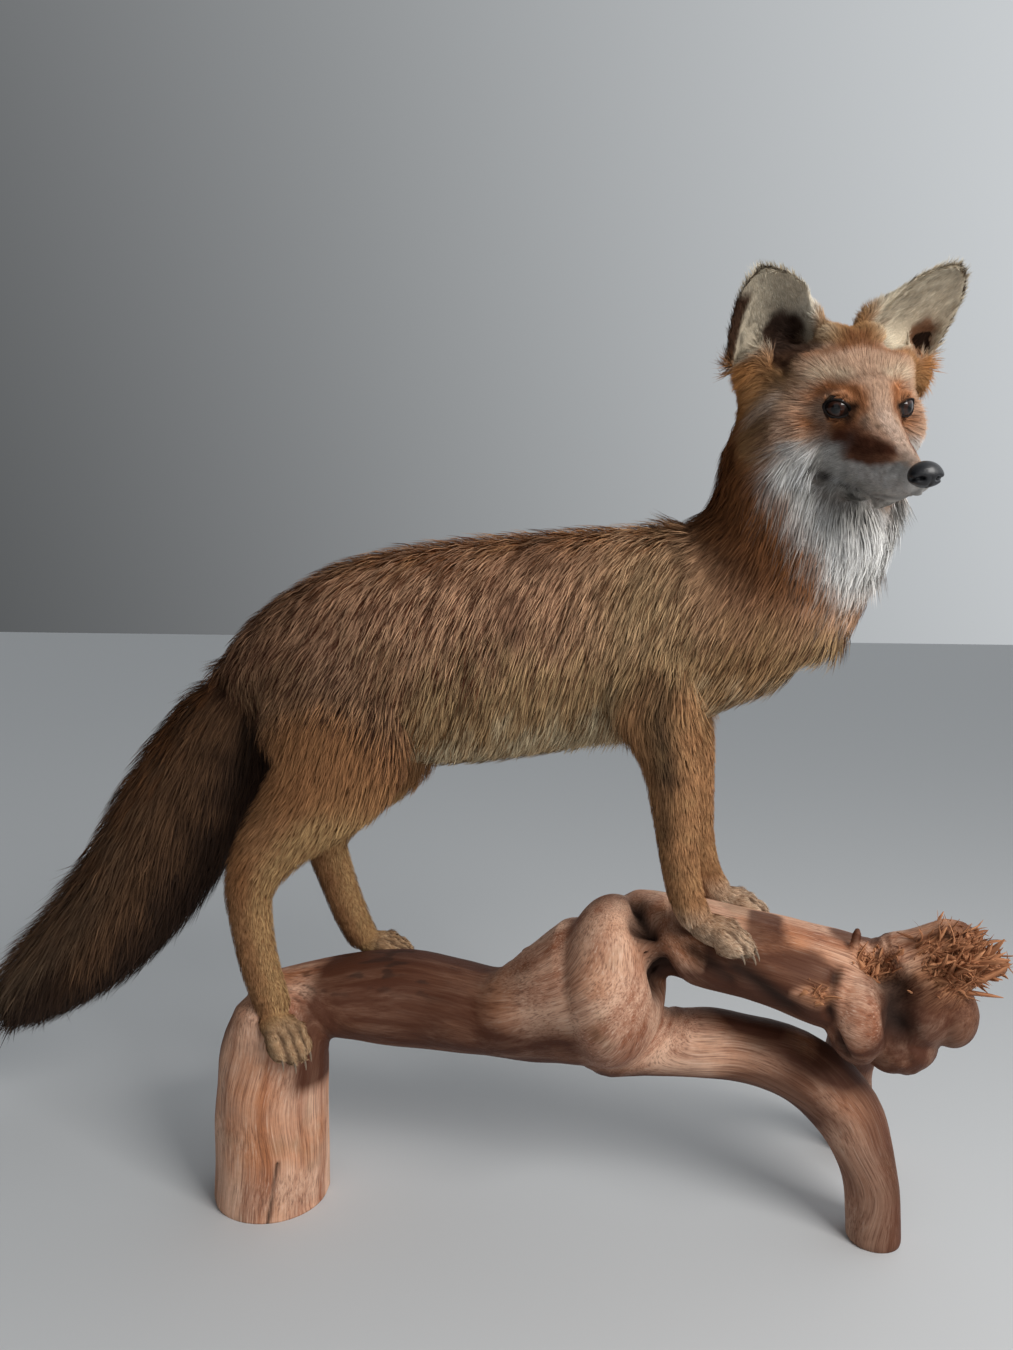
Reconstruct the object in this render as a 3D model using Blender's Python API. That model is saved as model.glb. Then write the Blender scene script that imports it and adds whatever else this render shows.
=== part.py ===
"""A mounted red fox standing on a forked driftwood root, as solids at life size.

Metres, +Z up, the floor at z = 0 and +X the way the body points. The fox is modelled whole out to
the tips of its coat, from sleeves (rings of given half-width and half-height carried along a
smooth path) and rounded swellings that one voxel skin joins. Thin cuts then part it into head,
neck, chest, belly, haunches, tail and legs. The driftwood is made the same way.
"""

import math

import bmesh
import bpy
import numpy as np
from mathutils import Euler, Matrix, Vector

GAP = 0.0003  # what touches keeps this clearance
MID_BODY = Vector((0.0742, -0.0166, 0.0))  # the middle of the fox's body, measured from the box's centre
RING_SIDES = 28
PATH_STEPS = 4  # rings between two stations
BELOW_FLOOR = 0.5  # the depth of the block that saws the feet flat
DOME_ANGLES = np.radians([25, 50, 75])  # the rings of a sleeve's rounded end
FOX_VOXEL = 0.0042
WOOD_VOXEL = 0.0050
SMOOTHING = 4  # passes over a joined skin
BODY_TRIANGLES = 1750
HEAD_TRIANGLES = 1050
WOOD_TRIANGLES = 1150

LEFT = Vector((0, 1, 0))

# --- the fox: stations are (x, y, z, half-width, half-height), from the middle of the body --------
TRUNK = (
    (-0.240, 0.0, 0.436, 0.030, 0.030),
    (-0.222, 0.0, 0.440, 0.044, 0.045),
    (-0.190, 0.0, 0.450, 0.056, 0.062),
    (-0.150, 0.0, 0.458, 0.063, 0.079),
    (-0.110, 0.0, 0.463, 0.066, 0.088),
    (-0.070, 0.0, 0.463, 0.068, 0.096),
    (-0.020, 0.0, 0.468, 0.069, 0.096),
    (0.045, 0.0, 0.476, 0.068, 0.092),
    (0.110, 0.0, 0.486, 0.066, 0.086),
    (0.155, 0.0, 0.495, 0.062, 0.080),
    (0.200, 0.0, 0.498, 0.055, 0.066),
    (0.232, 0.0, 0.497, 0.042, 0.045),
)
NECK = (
    (0.165, 0.0, 0.490, 0.056, 0.066),
    (0.198, 0.0, 0.516, 0.060, 0.076),
    (0.224, -0.002, 0.553, 0.060, 0.074),
    (0.234, -0.005, 0.585, 0.062, 0.073),
    (0.237, -0.010, 0.620, 0.062, 0.071),
    (0.236, -0.012, 0.655, 0.058, 0.065),
)
TAIL = (
    (-0.205, 0.000, 0.450, 0.036, 0.036),
    (-0.230, 0.002, 0.423, 0.046, 0.051),
    (-0.266, 0.005, 0.372, 0.054, 0.062),
    (-0.310, 0.008, 0.309, 0.058, 0.066),
    (-0.353, 0.010, 0.247, 0.058, 0.062),
    (-0.404, 0.012, 0.192, 0.054, 0.056),
    (-0.458, 0.013, 0.148, 0.045, 0.045),
    (-0.500, 0.013, 0.116, 0.030, 0.030),
)
# Each leg runs downwards, so its half-height is measured fore and aft.
FORELEG_RIGHT = (
    (0.120, -0.034, 0.462, 0.030, 0.040),
    (0.127, -0.043, 0.425, 0.025, 0.032),
    (0.1375, -0.046, 0.390, 0.021, 0.0235),
    (0.1425, -0.046, 0.352, 0.018, 0.0195),
    (0.146, -0.046, 0.313, 0.016, 0.0160),
    (0.151, -0.047, 0.288, 0.016, 0.0150),
    (0.157, -0.049, 0.274, 0.015, 0.0140),
)
FORELEG_LEFT = (
    (0.125, 0.034, 0.462, 0.030, 0.040),
    (0.134, 0.041, 0.425, 0.024, 0.030),
    (0.146, 0.042, 0.390, 0.020, 0.0225),
    (0.150, 0.041, 0.352, 0.018, 0.0185),
    (0.153, 0.040, 0.313, 0.016, 0.0160),
    (0.160, 0.039, 0.284, 0.016, 0.0150),
    (0.168, 0.039, 0.270, 0.015, 0.0140),
)
HIND_LEG_RIGHT = (
    (-0.148, -0.034, 0.462, 0.032, 0.056),
    (-0.132, -0.046, 0.412, 0.032, 0.066),
    (-0.133, -0.051, 0.372, 0.029, 0.058),
    (-0.158, -0.054, 0.338, 0.025, 0.041),
    (-0.188, -0.056, 0.305, 0.021, 0.0315),
    (-0.205, -0.057, 0.274, 0.017, 0.0240),
    (-0.2045, -0.058, 0.242, 0.0155, 0.0200),
    (-0.196, -0.060, 0.205, 0.0155, 0.0185),
    (-0.184, -0.063, 0.175, 0.0155, 0.0170),
)
HIND_LEG_LEFT = (
    (-0.145, 0.034, 0.462, 0.032, 0.056),
    (-0.128, 0.046, 0.412, 0.032, 0.066),
    (-0.130, 0.050, 0.374, 0.029, 0.054),
    (-0.152, 0.052, 0.342, 0.025, 0.038),
    (-0.176, 0.053, 0.312, 0.021, 0.0300),
    (-0.186, 0.053, 0.285, 0.017, 0.0230),
    (-0.177, 0.052, 0.255, 0.0155, 0.0195),
    (-0.163, 0.050, 0.222, 0.0155, 0.0180),
    (-0.151, 0.050, 0.199, 0.0155, 0.0165),
)
# Each paw: where the ankle meets it, its length, its heading (degrees left of +X) and its slope down.
PAWS = {
    "forepaw_right": ((0.160, -0.050, 0.272), 0.046, -16.0, 17.0),
    "forepaw_left": ((0.169, 0.039, 0.266), 0.044, 4.0, 12.0),
    "hindpaw_right": ((-0.183, -0.066, 0.170), 0.050, -34.0, 26.0),
    "hindpaw_left": ((-0.149, 0.050, 0.196), 0.046, 2.0, 5.0),
}
PAW_HALF_WIDTH = 0.0165
PAW_HALF_HEIGHT = 0.0120
PAW_BODY = (0.30, 0.42)  # of the paw's length: the pad's middle and its half-length
TOES = (0.78, 0.27)  # of the paw's length: the toes' middle and their half-length
TOE_HALF_WIDTH = 0.0060
TOE_HALF_HEIGHT = 0.0085
TOE_SPREAD = (-0.0125, -0.0045, 0.0045, 0.0125)  # the four toes, across the paw
TOE_REACH = (-0.006, 0.0, 0.0, -0.006)  # the outer toes are set back
PAD_DROP = 0.004  # the middles below the ankle's line
TOE_DROP = 0.006

# --- the head: millimetres forward, left and up from the point midway between the eyes ------------
MM = 0.001
EYES_AT = Vector((0.2715, -0.0635, 0.639))
HEAD_TURN = Euler((math.radians(2.2), math.radians(19.6), math.radians(-67.7)), "XYZ")
MUZZLE = (
    (-14, 0, -16, 27, 30),
    (14, 0, -23, 20, 25),
    (38, 0, -28, 15.5, 20),
    (60, 0, -30, 12, 15.5),
    (73, 0, -30.5, 10, 12.5),
)
JAW = (
    (-26, 0, -45, 24, 14),
    (10, 0, -51, 15, 10),
    (36, 0, -49, 11, 9),
    (54, 0, -46, 9, 7),
    (62, 0, -44.5, 7.5, 6),
)
HEAD_SWELLINGS = (  # (middle, half-sizes), on both sides where it is off the middle
    ((-46, 0, 2), (42, 42, 44)),
    ((-12, 0, 4), (27, 26, 20)),
    ((-38, 32, 12), (28, 28, 26)),
    ((-37, 38, -20), (32, 26, 33)),
    ((-66, 46, 14), (28, 31, 28)),
    ((-46, 13, 42), (16, 18, 13)),
    ((-8, 20, 3), (13, 10, 12)),
)
EYEBALL_AT = (-6.0, 22.0, 0.5)
EYEBALL_RADIUS = 9.6
SOCKET_AT = (2.0, 27.5, 0.5)
SOCKET_HALF = (8.0, 8.0, 6.6)
NOSE_AT = (81, 0, -26)
NOSE_HALF = (8.5, 11.5, 9.5)
EARS = {  # the inner and the outer end of the root, and the tip
    "ear_right": ((-50, -11, 48), (-73, -78, 16), (-42, -72, 84)),
    "ear_left": ((-48, 4, 52), (-70, 71, 14), (-38, 70, 86)),
}
EAR_BOWL = 18.0  # how deep the bowl is at the root
EAR_BOWL_LESS = 0.75  # of that depth is lost by the tip
EAR_THICK = 5.0
EAR_THICK_LESS = 0.5  # of the thickness is lost by the tip
EAR_EDGE_LESS = 0.6  # of the thickness is lost by the edges
EAR_ROUNDING = 1.3  # the power that the narrowing follows
EAR_TIP_WIDTH = 0.08  # of the root's width
EAR_SUNK = 0.22  # of its height, below the root
EAR_COLUMNS = 10
EAR_ROWS = 8

# --- the driftwood, from the middle of the body ----------------------------------------------------
POST = (
    (-0.197, -0.045, -0.020, 0.0475, 0.0475),
    (-0.196, -0.045, 0.050, 0.0470, 0.0470),
    (-0.194, -0.044, 0.105, 0.0460, 0.0460),
    (-0.190, -0.040, 0.140, 0.0430, 0.0430),
)
REAR_BOUGH = (
    (-0.200, -0.022, 0.155, 0.040, 0.030),
    (-0.150, -0.002, 0.160, 0.044, 0.034),
    (-0.095, 0.012, 0.160, 0.047, 0.040),
    (-0.055, 0.015, 0.157, 0.047, 0.038),
    (-0.015, 0.014, 0.155, 0.046, 0.035),
    (0.015, 0.008, 0.162, 0.047, 0.042),
    (0.045, 0.002, 0.175, 0.050, 0.052),
    (0.075, -0.006, 0.190, 0.052, 0.062),
)
KNEE = ((0.092, -0.016, 0.203), (0.043, 0.056, 0.070))
FRONT_LOG = (
    (0.112, 0.006, 0.243, 0.046, 0.028),
    (0.145, 0.000, 0.239, 0.053, 0.031),
    (0.200, -0.004, 0.232, 0.054, 0.031),
    (0.255, -0.006, 0.219, 0.052, 0.035),
    (0.290, -0.008, 0.212, 0.045, 0.035),
)
LOWER_BRANCH = (
    (0.090, -0.004, 0.150, 0.032, 0.031),
    (0.130, 0.000, 0.150, 0.028, 0.027),
    (0.185, 0.004, 0.151, 0.027, 0.026),
    (0.235, 0.008, 0.139, 0.028, 0.028),
    (0.270, 0.010, 0.112, 0.027, 0.028),
    (0.288, 0.012, 0.078, 0.024, 0.024),
    (0.297, 0.013, 0.042, 0.021, 0.021),
    (0.300, 0.013, -0.020, 0.020, 0.020),
)
BACK_ROOT = (
    (0.296, 0.024, 0.196, 0.026, 0.026),
    (0.290, 0.074, 0.154, 0.022, 0.023),
    (0.286, 0.118, 0.092, 0.020, 0.021),
    (0.291, 0.142, 0.040, 0.020, 0.020),
    (0.296, 0.150, -0.020, 0.020, 0.020),
)
BACK_STUB = (
    (0.070, 0.030, 0.215, 0.018, 0.018),
    (0.035, 0.046, 0.202, 0.013, 0.013),
    (0.008, 0.054, 0.190, 0.010, 0.010),
)
BURL_CROWN = (
    (0.300, -0.006, 0.212, 0.040, 0.038),
    (0.326, -0.010, 0.231, 0.037, 0.032),
    (0.344, -0.012, 0.245, 0.032, 0.026),
)
BURL_SWELLINGS = (  # (middle, half-sizes)
    ((0.277, -0.038, 0.202), (0.023, 0.024, 0.037)),
    ((0.312, 0.000, 0.206), (0.044, 0.046, 0.038)),
    ((0.308, -0.010, 0.174), (0.030, 0.030, 0.022)),
    ((0.346, -0.012, 0.200), (0.018, 0.024, 0.024)),
    ((0.368, -0.010, 0.240), (0.016, 0.014, 0.009)),
)


def clear_scene():
    """Removes every object that the file holds."""
    for old in list(bpy.data.objects):
        bpy.data.objects.remove(old, do_unlink=True)


def link(name, mesh):
    """A new object of this mesh in the scene."""
    made = bpy.data.objects.new(name, mesh)
    bpy.context.scene.collection.objects.link(made)
    return made


def material(name, colour, roughness):
    """A Principled BSDF of one colour."""
    made = bpy.data.materials.new(name)
    made.use_nodes = True
    shader = made.node_tree.nodes["Principled BSDF"]
    shader.inputs["Base Color"].default_value = (*colour, 1.0)
    shader.inputs["Roughness"].default_value = roughness
    shader.inputs["Metallic"].default_value = 0.0
    return made


def smooth_path(stations):
    """Catmull-Rom rows through the stations, PATH_STEPS of them from one station to the next."""
    rows = np.array(stations, float)
    ends = np.vstack([2 * rows[0] - rows[1], rows, 2 * rows[-1] - rows[-2]])
    made = []
    for before, start, stop, after in zip(ends, ends[1:], ends[2:], ends[3:]):
        for t in np.linspace(0, 1, PATH_STEPS, endpoint=False):
            linear = (stop - before) * t
            square = (2 * before - 5 * start + 4 * stop - after) * t**2
            cubic = (3 * start - before - 3 * stop + after) * t**3
            made.append(start + (linear + square + cubic) / 2)
    made.append(rows[-1])
    return np.array(made)


def dome(row, way):
    """The rings that round off a sleeve past this end row, from the widest to the smallest."""
    reach = min(row[3:])
    return [(row[:3] + way * reach * math.sin(a), way, *(row[3:] * math.cos(a))) for a in DOME_ANGLES]


def ring_points(centre, way, wide, high):
    """The points of an ellipse across the way, its half-width pointing to the left."""
    way = Vector(way)
    across = (LEFT - way * way.dot(LEFT)).normalized()
    over = way.cross(across)
    turns = [2 * math.pi * k / RING_SIDES for k in range(RING_SIDES)]
    return [Vector(centre) + across * wide * math.cos(t) + over * high * math.sin(t) for t in turns]


def add_sleeve(bm, stations, place):
    """A closed tube through the stations, with domed ends."""
    rows = smooth_path(stations)
    along = np.gradient(rows[:, :3], axis=0)
    along /= np.linalg.norm(along, axis=1)[:, None]
    start = [(centre, -way, wide, high) for centre, way, wide, high in dome(rows[0], -along[0])]
    middle = [(row[:3], way, row[3], row[4]) for row, way in zip(rows, along)]
    rings = start[::-1] + middle + dome(rows[-1], along[-1])
    loops = [[bm.verts.new(place @ point) for point in ring_points(*ring)] for ring in rings]
    for ring, following in zip(loops, loops[1:]):
        for k in range(RING_SIDES):
            n = (k + 1) % RING_SIDES
            bm.faces.new((ring[k], ring[n], following[n], following[k]))
    bm.faces.new(loops[0][::-1])
    bm.faces.new(loops[-1])


def add_swelling(bm, middle, half_sizes, place):
    """An ellipsoid."""
    size = Matrix.Diagonal((*half_sizes, 1.0))
    matrix = place @ Matrix.Translation(middle) @ size
    bmesh.ops.create_uvsphere(bm, u_segments=24, v_segments=14, radius=1.0, matrix=matrix)


def mesh_of(name, bm):
    """Ends the bmesh and returns its mesh, with its faces pointing out."""
    bmesh.ops.recalc_face_normals(bm, faces=bm.faces)
    mesh = bpy.data.meshes.new(name)
    bm.to_mesh(mesh)
    bm.free()
    return mesh


def evaluated(source):
    """The object's mesh with its modifiers applied, in a new mesh."""
    bpy.context.view_layer.update()
    graph = bpy.context.evaluated_depsgraph_get()
    return bpy.data.meshes.new_from_object(source.evaluated_get(graph))


def apply_modifiers(target):
    """Makes the object's mesh what its modifiers show."""
    target.data = evaluated(target)
    target.modifiers.clear()


def skinned(name, bm, voxel):
    """One closed skin over all the shapes in bm, smoothed."""
    whole = link(name, mesh_of(name, bm))
    remesh = whole.modifiers.new("skin", "REMESH")
    remesh.mode = "VOXEL"
    remesh.voxel_size = voxel
    smooth = whole.modifiers.new("soften", "SMOOTH")
    smooth.factor = 0.5
    smooth.iterations = SMOOTHING
    apply_modifiers(whole)
    return whole


def thin_out(whole, triangles, region=None):
    """Collapses edges until so many triangles are left, in the region only if one is given.

    The region is a function that says of a point whether it lies inside.
    """
    points = [vert.co for vert in whole.data.vertices]
    inside = [region is None or region(point) for point in points]
    counts = [0, 0]
    for face in whole.data.polygons:
        counts[all(inside[k] for k in face.vertices)] += len(face.vertices) - 2
    fewer = whole.modifiers.new("fewer", "DECIMATE")
    fewer.ratio = (counts[0] + triangles) / sum(counts)
    if region is not None:
        group = whole.vertex_groups.new(name="region")
        group.add([k for k, held in enumerate(inside) if held], 1.0, "REPLACE")
        fewer.vertex_group = group.name
    apply_modifiers(whole)
    whole.vertex_groups.clear()


def cut(target, cutter, operation="DIFFERENCE"):
    """Applies a Boolean of the cutter to the target, and removes the cutter."""
    boolean = target.modifiers.new("cut", "BOOLEAN")
    boolean.object = cutter
    boolean.operation = operation
    boolean.solver = "EXACT"
    apply_modifiers(target)
    bpy.data.objects.remove(cutter)


def grown(source, by):
    """A copy of the object whose surface stands this much further out."""
    copy = link(source.name + "_grown", source.data.copy())
    copy.matrix_world = source.matrix_world
    swell = copy.modifiers.new("swell", "DISPLACE")
    swell.strength = by
    swell.mid_level = 0.0
    apply_modifiers(copy)
    return copy


def slab(middle, way, half_wide, half_high):
    """A thin board across a limb: way is the limb's direction, half_wide is measured sideways."""
    way = Vector(way).normalized()
    across = (LEFT - way * way.dot(LEFT)).normalized()
    over = way.cross(across)
    turn = Matrix((across, over, way)).transposed().to_4x4()
    bm = bmesh.new()
    place = Matrix.Translation(MID_BODY + Vector(middle)) @ turn
    size = Matrix.Diagonal((2 * half_wide, 2 * half_high, GAP, 1.0))
    bmesh.ops.create_cube(bm, size=1.0, matrix=place @ size)
    return link("slab", mesh_of("slab", bm))


def islands(mesh):
    """The mesh's separate bodies, each as a bmesh."""
    bm = bmesh.new()
    bm.from_mesh(mesh)
    left = set(bm.verts)
    groups = []
    while left:
        stack, seen = [left.pop()], set()
        while stack:
            vert = stack.pop()
            seen.add(vert)
            for edge in vert.link_edges:
                other = edge.other_vert(vert)
                if other in left:
                    left.remove(other)
                    stack.append(other)
        groups.append(seen)
    made = []
    for group in groups:
        copy = bmesh.new()
        new = {vert: copy.verts.new(vert.co) for vert in group}
        for face in {face for vert in group for face in vert.link_faces}:
            copy.faces.new([new[vert] for vert in face.verts])
        made.append(copy)
    bm.free()
    return made


def part_into(whole, slabs, seeds, finish):
    """Cuts the whole with the slabs and names each piece by the seed point nearest to its middle.

    A crumb that two cuts leave between them isn't kept.
    """
    for middle, way, half_wide, half_high in slabs:
        cut(whole, slab(middle, way, half_wide, half_high))
    unnamed = {name: MID_BODY + Vector(at) for name, at in seeds.items()}
    bodies = sorted(islands(whole.data), key=lambda bm: -len(bm.verts))
    for bm in bodies[: len(seeds)]:
        middle = sum((vert.co for vert in bm.verts), Vector()) / len(bm.verts)
        name = min(unnamed, key=lambda n: (unnamed[n] - middle).length)
        del unnamed[name]
        piece = link(name, mesh_of(name, bm))
        dress(piece, finish)
    bpy.data.objects.remove(whole)


def dress(piece, finish):
    """Gives the piece its material and smooth shading with crisp edges."""
    piece.data.materials.clear()
    piece.data.materials.append(finish)
    piece.data.shade_smooth()
    piece.data.set_sharp_from_angle(angle=math.radians(40))


def head_place():
    """The matrix from head millimetres to the part's metres."""
    turn = HEAD_TURN.to_matrix().to_4x4()
    return Matrix.Translation(MID_BODY + EYES_AT) @ turn @ Matrix.Scale(MM, 4)


def add_paw(bm, ankle, length, heading, slope):
    """A pad from the ankle forward, with four toes side by side at its end."""
    turn = Euler((0, math.radians(slope), math.radians(heading)), "XYZ").to_matrix().to_4x4()
    place = Matrix.Translation(MID_BODY + Vector(ankle)) @ turn
    middle, half_length = (share * length for share in PAW_BODY)
    add_swelling(bm, (middle, 0, -PAD_DROP), (half_length, PAW_HALF_WIDTH, PAW_HALF_HEIGHT), place)
    middle, half_length = (share * length for share in TOES)
    for across, reach in zip(TOE_SPREAD, TOE_REACH):
        at = (middle + reach, across, -TOE_DROP)
        add_swelling(bm, at, (half_length, TOE_HALF_WIDTH, TOE_HALF_HEIGHT), place)


def make_fox():
    """The fox's flesh and coat in one skin, without its ears, eyes and nose."""
    bm = bmesh.new()
    body = Matrix.Translation(MID_BODY)
    for stations in (TRUNK, NECK, TAIL, FORELEG_RIGHT, FORELEG_LEFT, HIND_LEG_RIGHT, HIND_LEG_LEFT):
        add_sleeve(bm, stations, body)
    for paw in PAWS.values():
        add_paw(bm, *paw)
    head = head_place()
    add_sleeve(bm, MUZZLE, head)
    add_sleeve(bm, JAW, head)
    for middle, half_sizes in HEAD_SWELLINGS:
        for side in (1, -1) if middle[1] else (1,):
            add_swelling(bm, Vector(middle) * Vector((1, side, 1)), half_sizes, head)
    fox = skinned("fox", bm, FOX_VOXEL)
    neck_cut, way = (Vector(numbers) for numbers in FOX_SLABS[0][:2])
    thin_out(fox, BODY_TRIANGLES, lambda point: (point - MID_BODY - neck_cut).dot(way) <= 0)
    thin_out(fox, HEAD_TRIANGLES, lambda point: (point - MID_BODY - neck_cut).dot(way) > 0)
    return fox


def make_ball(name, middle, half_sizes, segments, rings):
    """An ellipsoid in the head's frame, as its own object."""
    bm = bmesh.new()
    matrix = head_place() @ Matrix.Translation(middle) @ Matrix.Diagonal((*half_sizes, 1.0))
    bmesh.ops.create_uvsphere(bm, u_segments=segments, v_segments=rings, radius=1.0, matrix=matrix)
    return link(name, mesh_of(name, bm))


def ear_wall(bm, points, thickness):
    """One face of an ear, as rows of vertices from its root to its tip."""
    inner, outer, tip = points
    root = (inner + outer) / 2
    half = (outer - inner) / 2
    back = half.cross(tip - root).normalized()
    back *= -1 if back.x > 0 else 1  # the head looks along its +X
    place = head_place()
    rows = []
    for v in np.linspace(-EAR_SUNK, 1, EAR_ROWS + 1):
        width = max(math.sqrt(1 - max(v, 0) ** EAR_ROUNDING), EAR_TIP_WIDTH)
        row = []
        for u in np.linspace(-1, 1, EAR_COLUMNS + 1):
            bowl = EAR_BOWL * (1 - EAR_BOWL_LESS * v) * (1 - u * u)
            wall = thickness * (1 - EAR_EDGE_LESS * abs(u) ** 3) * (1 - EAR_THICK_LESS * v)
            point = root + (tip - root) * v + half * u * width + back * (bowl + wall)
            row.append(bm.verts.new(place @ point))
        rows.append(row)
    return rows


def make_ear(name):
    """An upright bowl that opens forward, with its tip over its outer edge."""
    points = [Vector(point) for point in EARS[name]]
    bm = bmesh.new()
    front = ear_wall(bm, points, 0.0)
    rear = ear_wall(bm, points, EAR_THICK)
    for j in range(EAR_ROWS):
        for i in range(EAR_COLUMNS):
            bm.faces.new((front[j][i], front[j][i + 1], front[j + 1][i + 1], front[j + 1][i]))
            bm.faces.new((rear[j][i], rear[j + 1][i], rear[j + 1][i + 1], rear[j][i + 1]))
    rim = [(0, i) for i in range(EAR_COLUMNS)] + [(j, EAR_COLUMNS) for j in range(EAR_ROWS)]
    rim += [(EAR_ROWS, i) for i in range(EAR_COLUMNS, 0, -1)] + [(j, 0) for j in range(EAR_ROWS, 0, -1)]
    for (j, i), (n, m) in zip(rim, rim[1:] + rim[:1]):
        bm.faces.new((front[j][i], rear[j][i], rear[n][m], front[n][m]))
    return link(name, mesh_of(name, bm))


def make_wood():
    """The driftwood in one skin, sawn flat at the floor."""
    bm = bmesh.new()
    place = Matrix.Translation(MID_BODY)
    for stations in (POST, LOWER_BRANCH, BACK_ROOT, REAR_BOUGH, FRONT_LOG, BACK_STUB, BURL_CROWN):
        add_sleeve(bm, stations, place)
    for middle, half_sizes in (KNEE, *BURL_SWELLINGS):
        add_swelling(bm, middle, half_sizes, place)
    wood = skinned("driftwood", bm, WOOD_VOXEL)
    thin_out(wood, WOOD_TRIANGLES)
    below = bmesh.new()
    under_floor = Matrix.Translation((0, 0, -BELOW_FLOOR / 2)) @ Matrix.Diagonal((2, 2, BELOW_FLOOR, 1))
    bmesh.ops.create_cube(below, size=1.0, matrix=under_floor)
    cut(wood, link("below", mesh_of("below", below)))
    return wood


FOX_SLABS = (  # (middle, the limb's direction, half-width, half-height)
    ((0.2485, -0.015, 0.615), (0.24, -0.59, 0.77), 0.11, 0.11),
    ((0.205, 0.0, 0.532), (0.45, 0.0, 0.89), 0.12, 0.13),
    ((0.075, 0.0, 0.480), (1, 0, 0), 0.12, 0.14),
    ((-0.050, 0.0, 0.465), (1, 0, 0), 0.12, 0.14),
    ((-0.230, 0.0, 0.421), (-0.55, 0, -0.83), 0.062, 0.078),
    ((-0.353, 0.010, 0.247), (-0.62, 0, -0.78), 0.080, 0.085),
    ((0.133, -0.047, 0.402), (0, 0, -1), 0.030, 0.034),
    ((0.141, 0.043, 0.402), (0, 0, -1), 0.030, 0.034),
    ((0.150, -0.047, 0.289), (0, 0, -1), 0.028, 0.028),
    ((0.158, 0.039, 0.286), (0, 0, -1), 0.028, 0.028),
    ((-0.135, -0.050, 0.362), (-0.3, 0, -0.95), 0.040, 0.075),
    ((-0.132, 0.050, 0.362), (-0.3, 0, -0.95), 0.040, 0.075),
    ((-0.204, -0.057, 0.268), (0.1, 0, -1), 0.030, 0.035),
    ((-0.183, 0.053, 0.275), (0.2, 0, -1), 0.030, 0.035),
    ((-0.187, -0.062, 0.182), (0.3, 0, -0.95), 0.028, 0.030),
    ((-0.155, 0.050, 0.205), (0.4, 0, -0.92), 0.028, 0.030),
)
FOX_SEEDS = {
    "head": (0.262, -0.055, 0.640),
    "neck": (0.225, 0.0, 0.575),
    "chest": (0.140, 0.0, 0.485),
    "belly": (0.012, 0.0, 0.470),
    "haunches": (-0.140, 0.0, 0.430),
    "tail_upper": (-0.290, 0.0, 0.330),
    "tail_tip": (-0.420, 0.0, 0.165),
    "foreleg_right": (0.145, -0.046, 0.345),
    "foreleg_left": (0.152, 0.041, 0.345),
    "forepaw_right": (0.175, -0.052, 0.262),
    "forepaw_left": (0.185, 0.040, 0.258),
    "hind_leg_right": (-0.165, -0.054, 0.320),
    "hind_leg_left": (-0.155, 0.052, 0.325),
    "hock_right": (-0.200, -0.058, 0.225),
    "hock_left": (-0.168, 0.052, 0.240),
    "hindpaw_right": (-0.165, -0.075, 0.155),
    "hindpaw_left": (-0.130, 0.050, 0.185),
}
WOOD_SLABS = (
    ((-0.178, -0.020, 0.130), (0.45, 0.0, 0.89), 0.075, 0.075),
    ((0.045, 0.004, 0.175), (1, 0, 0.15), 0.080, 0.085),
    ((0.139, 0.000, 0.200), (1, 0, 0), 0.080, 0.100),
    ((0.262, 0.009, 0.120), (0.7, 0, -0.7), 0.045, 0.050),
    ((0.250, -0.010, 0.222), (1, 0, -0.25), 0.080, 0.055),
    ((0.283, 0.020, 0.160), (0.5, 0, 0.87), 0.120, 0.047),
)
WOOD_SEEDS = {
    "driftwood_post": (-0.192, -0.044, 0.060),
    "driftwood_rear_bough": (-0.070, 0.010, 0.160),
    "driftwood_knee": (0.085, 0.0, 0.195),
    "driftwood_front_log": (0.190, 0.0, 0.228),
    "driftwood_lower_branch": (0.185, 0.004, 0.148),
    "driftwood_front_foot": (0.290, 0.012, 0.060),
    "driftwood_burl": (0.315, -0.010, 0.205),
    "driftwood_back_foot": (0.290, 0.120, 0.080),
}


def main():
    clear_scene()
    coat = material("russet_coat", (0.46, 0.25, 0.12), 0.85)
    timber = material("driftwood_timber", (0.42, 0.25, 0.16), 0.60)
    glass = material("eye_glass", (0.05, 0.02, 0.01), 0.08)
    leather = material("nose_leather", (0.02, 0.02, 0.025), 0.40)
    wood = make_wood()
    fox = make_fox()
    cut(fox, grown(wood, GAP))
    eye_half = (EYEBALL_RADIUS,) * 3
    for name, side in (("eye_right", -1), ("eye_left", 1)):
        mirror = Vector((1, side, 1))
        cut(fox, make_ball("socket", Vector(SOCKET_AT) * mirror, SOCKET_HALF, 10, 6))
        eye = make_ball(name, Vector(EYEBALL_AT) * mirror, eye_half, 12, 8)
        dress(eye, glass)
        cut(fox, grown(eye, GAP))
    nose = make_ball("nose", NOSE_AT, NOSE_HALF, 14, 8)
    dress(nose, leather)
    cut(fox, grown(nose, GAP))
    for name in EARS:
        ear = make_ear(name)
        cut(ear, grown(fox, GAP))
        dress(ear, coat)
    part_into(fox, FOX_SLABS, FOX_SEEDS, coat)
    part_into(wood, WOOD_SLABS, WOOD_SEEDS, timber)


main()
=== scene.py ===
"""A mounted red fox on a driftwood root, dressed over its solids.

Metres, +Z up, +X the way the body points. One skin lies under the coat, inside the solids by the
coat's depth. The coat is thin blades that grow from points spread over the skin and follow the lie
of the hair. Skin and coat take their colours from the same markings.
"""

import logging
import math
from collections.abc import Callable, Iterator
from dataclasses import dataclass
from enum import Enum

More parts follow.
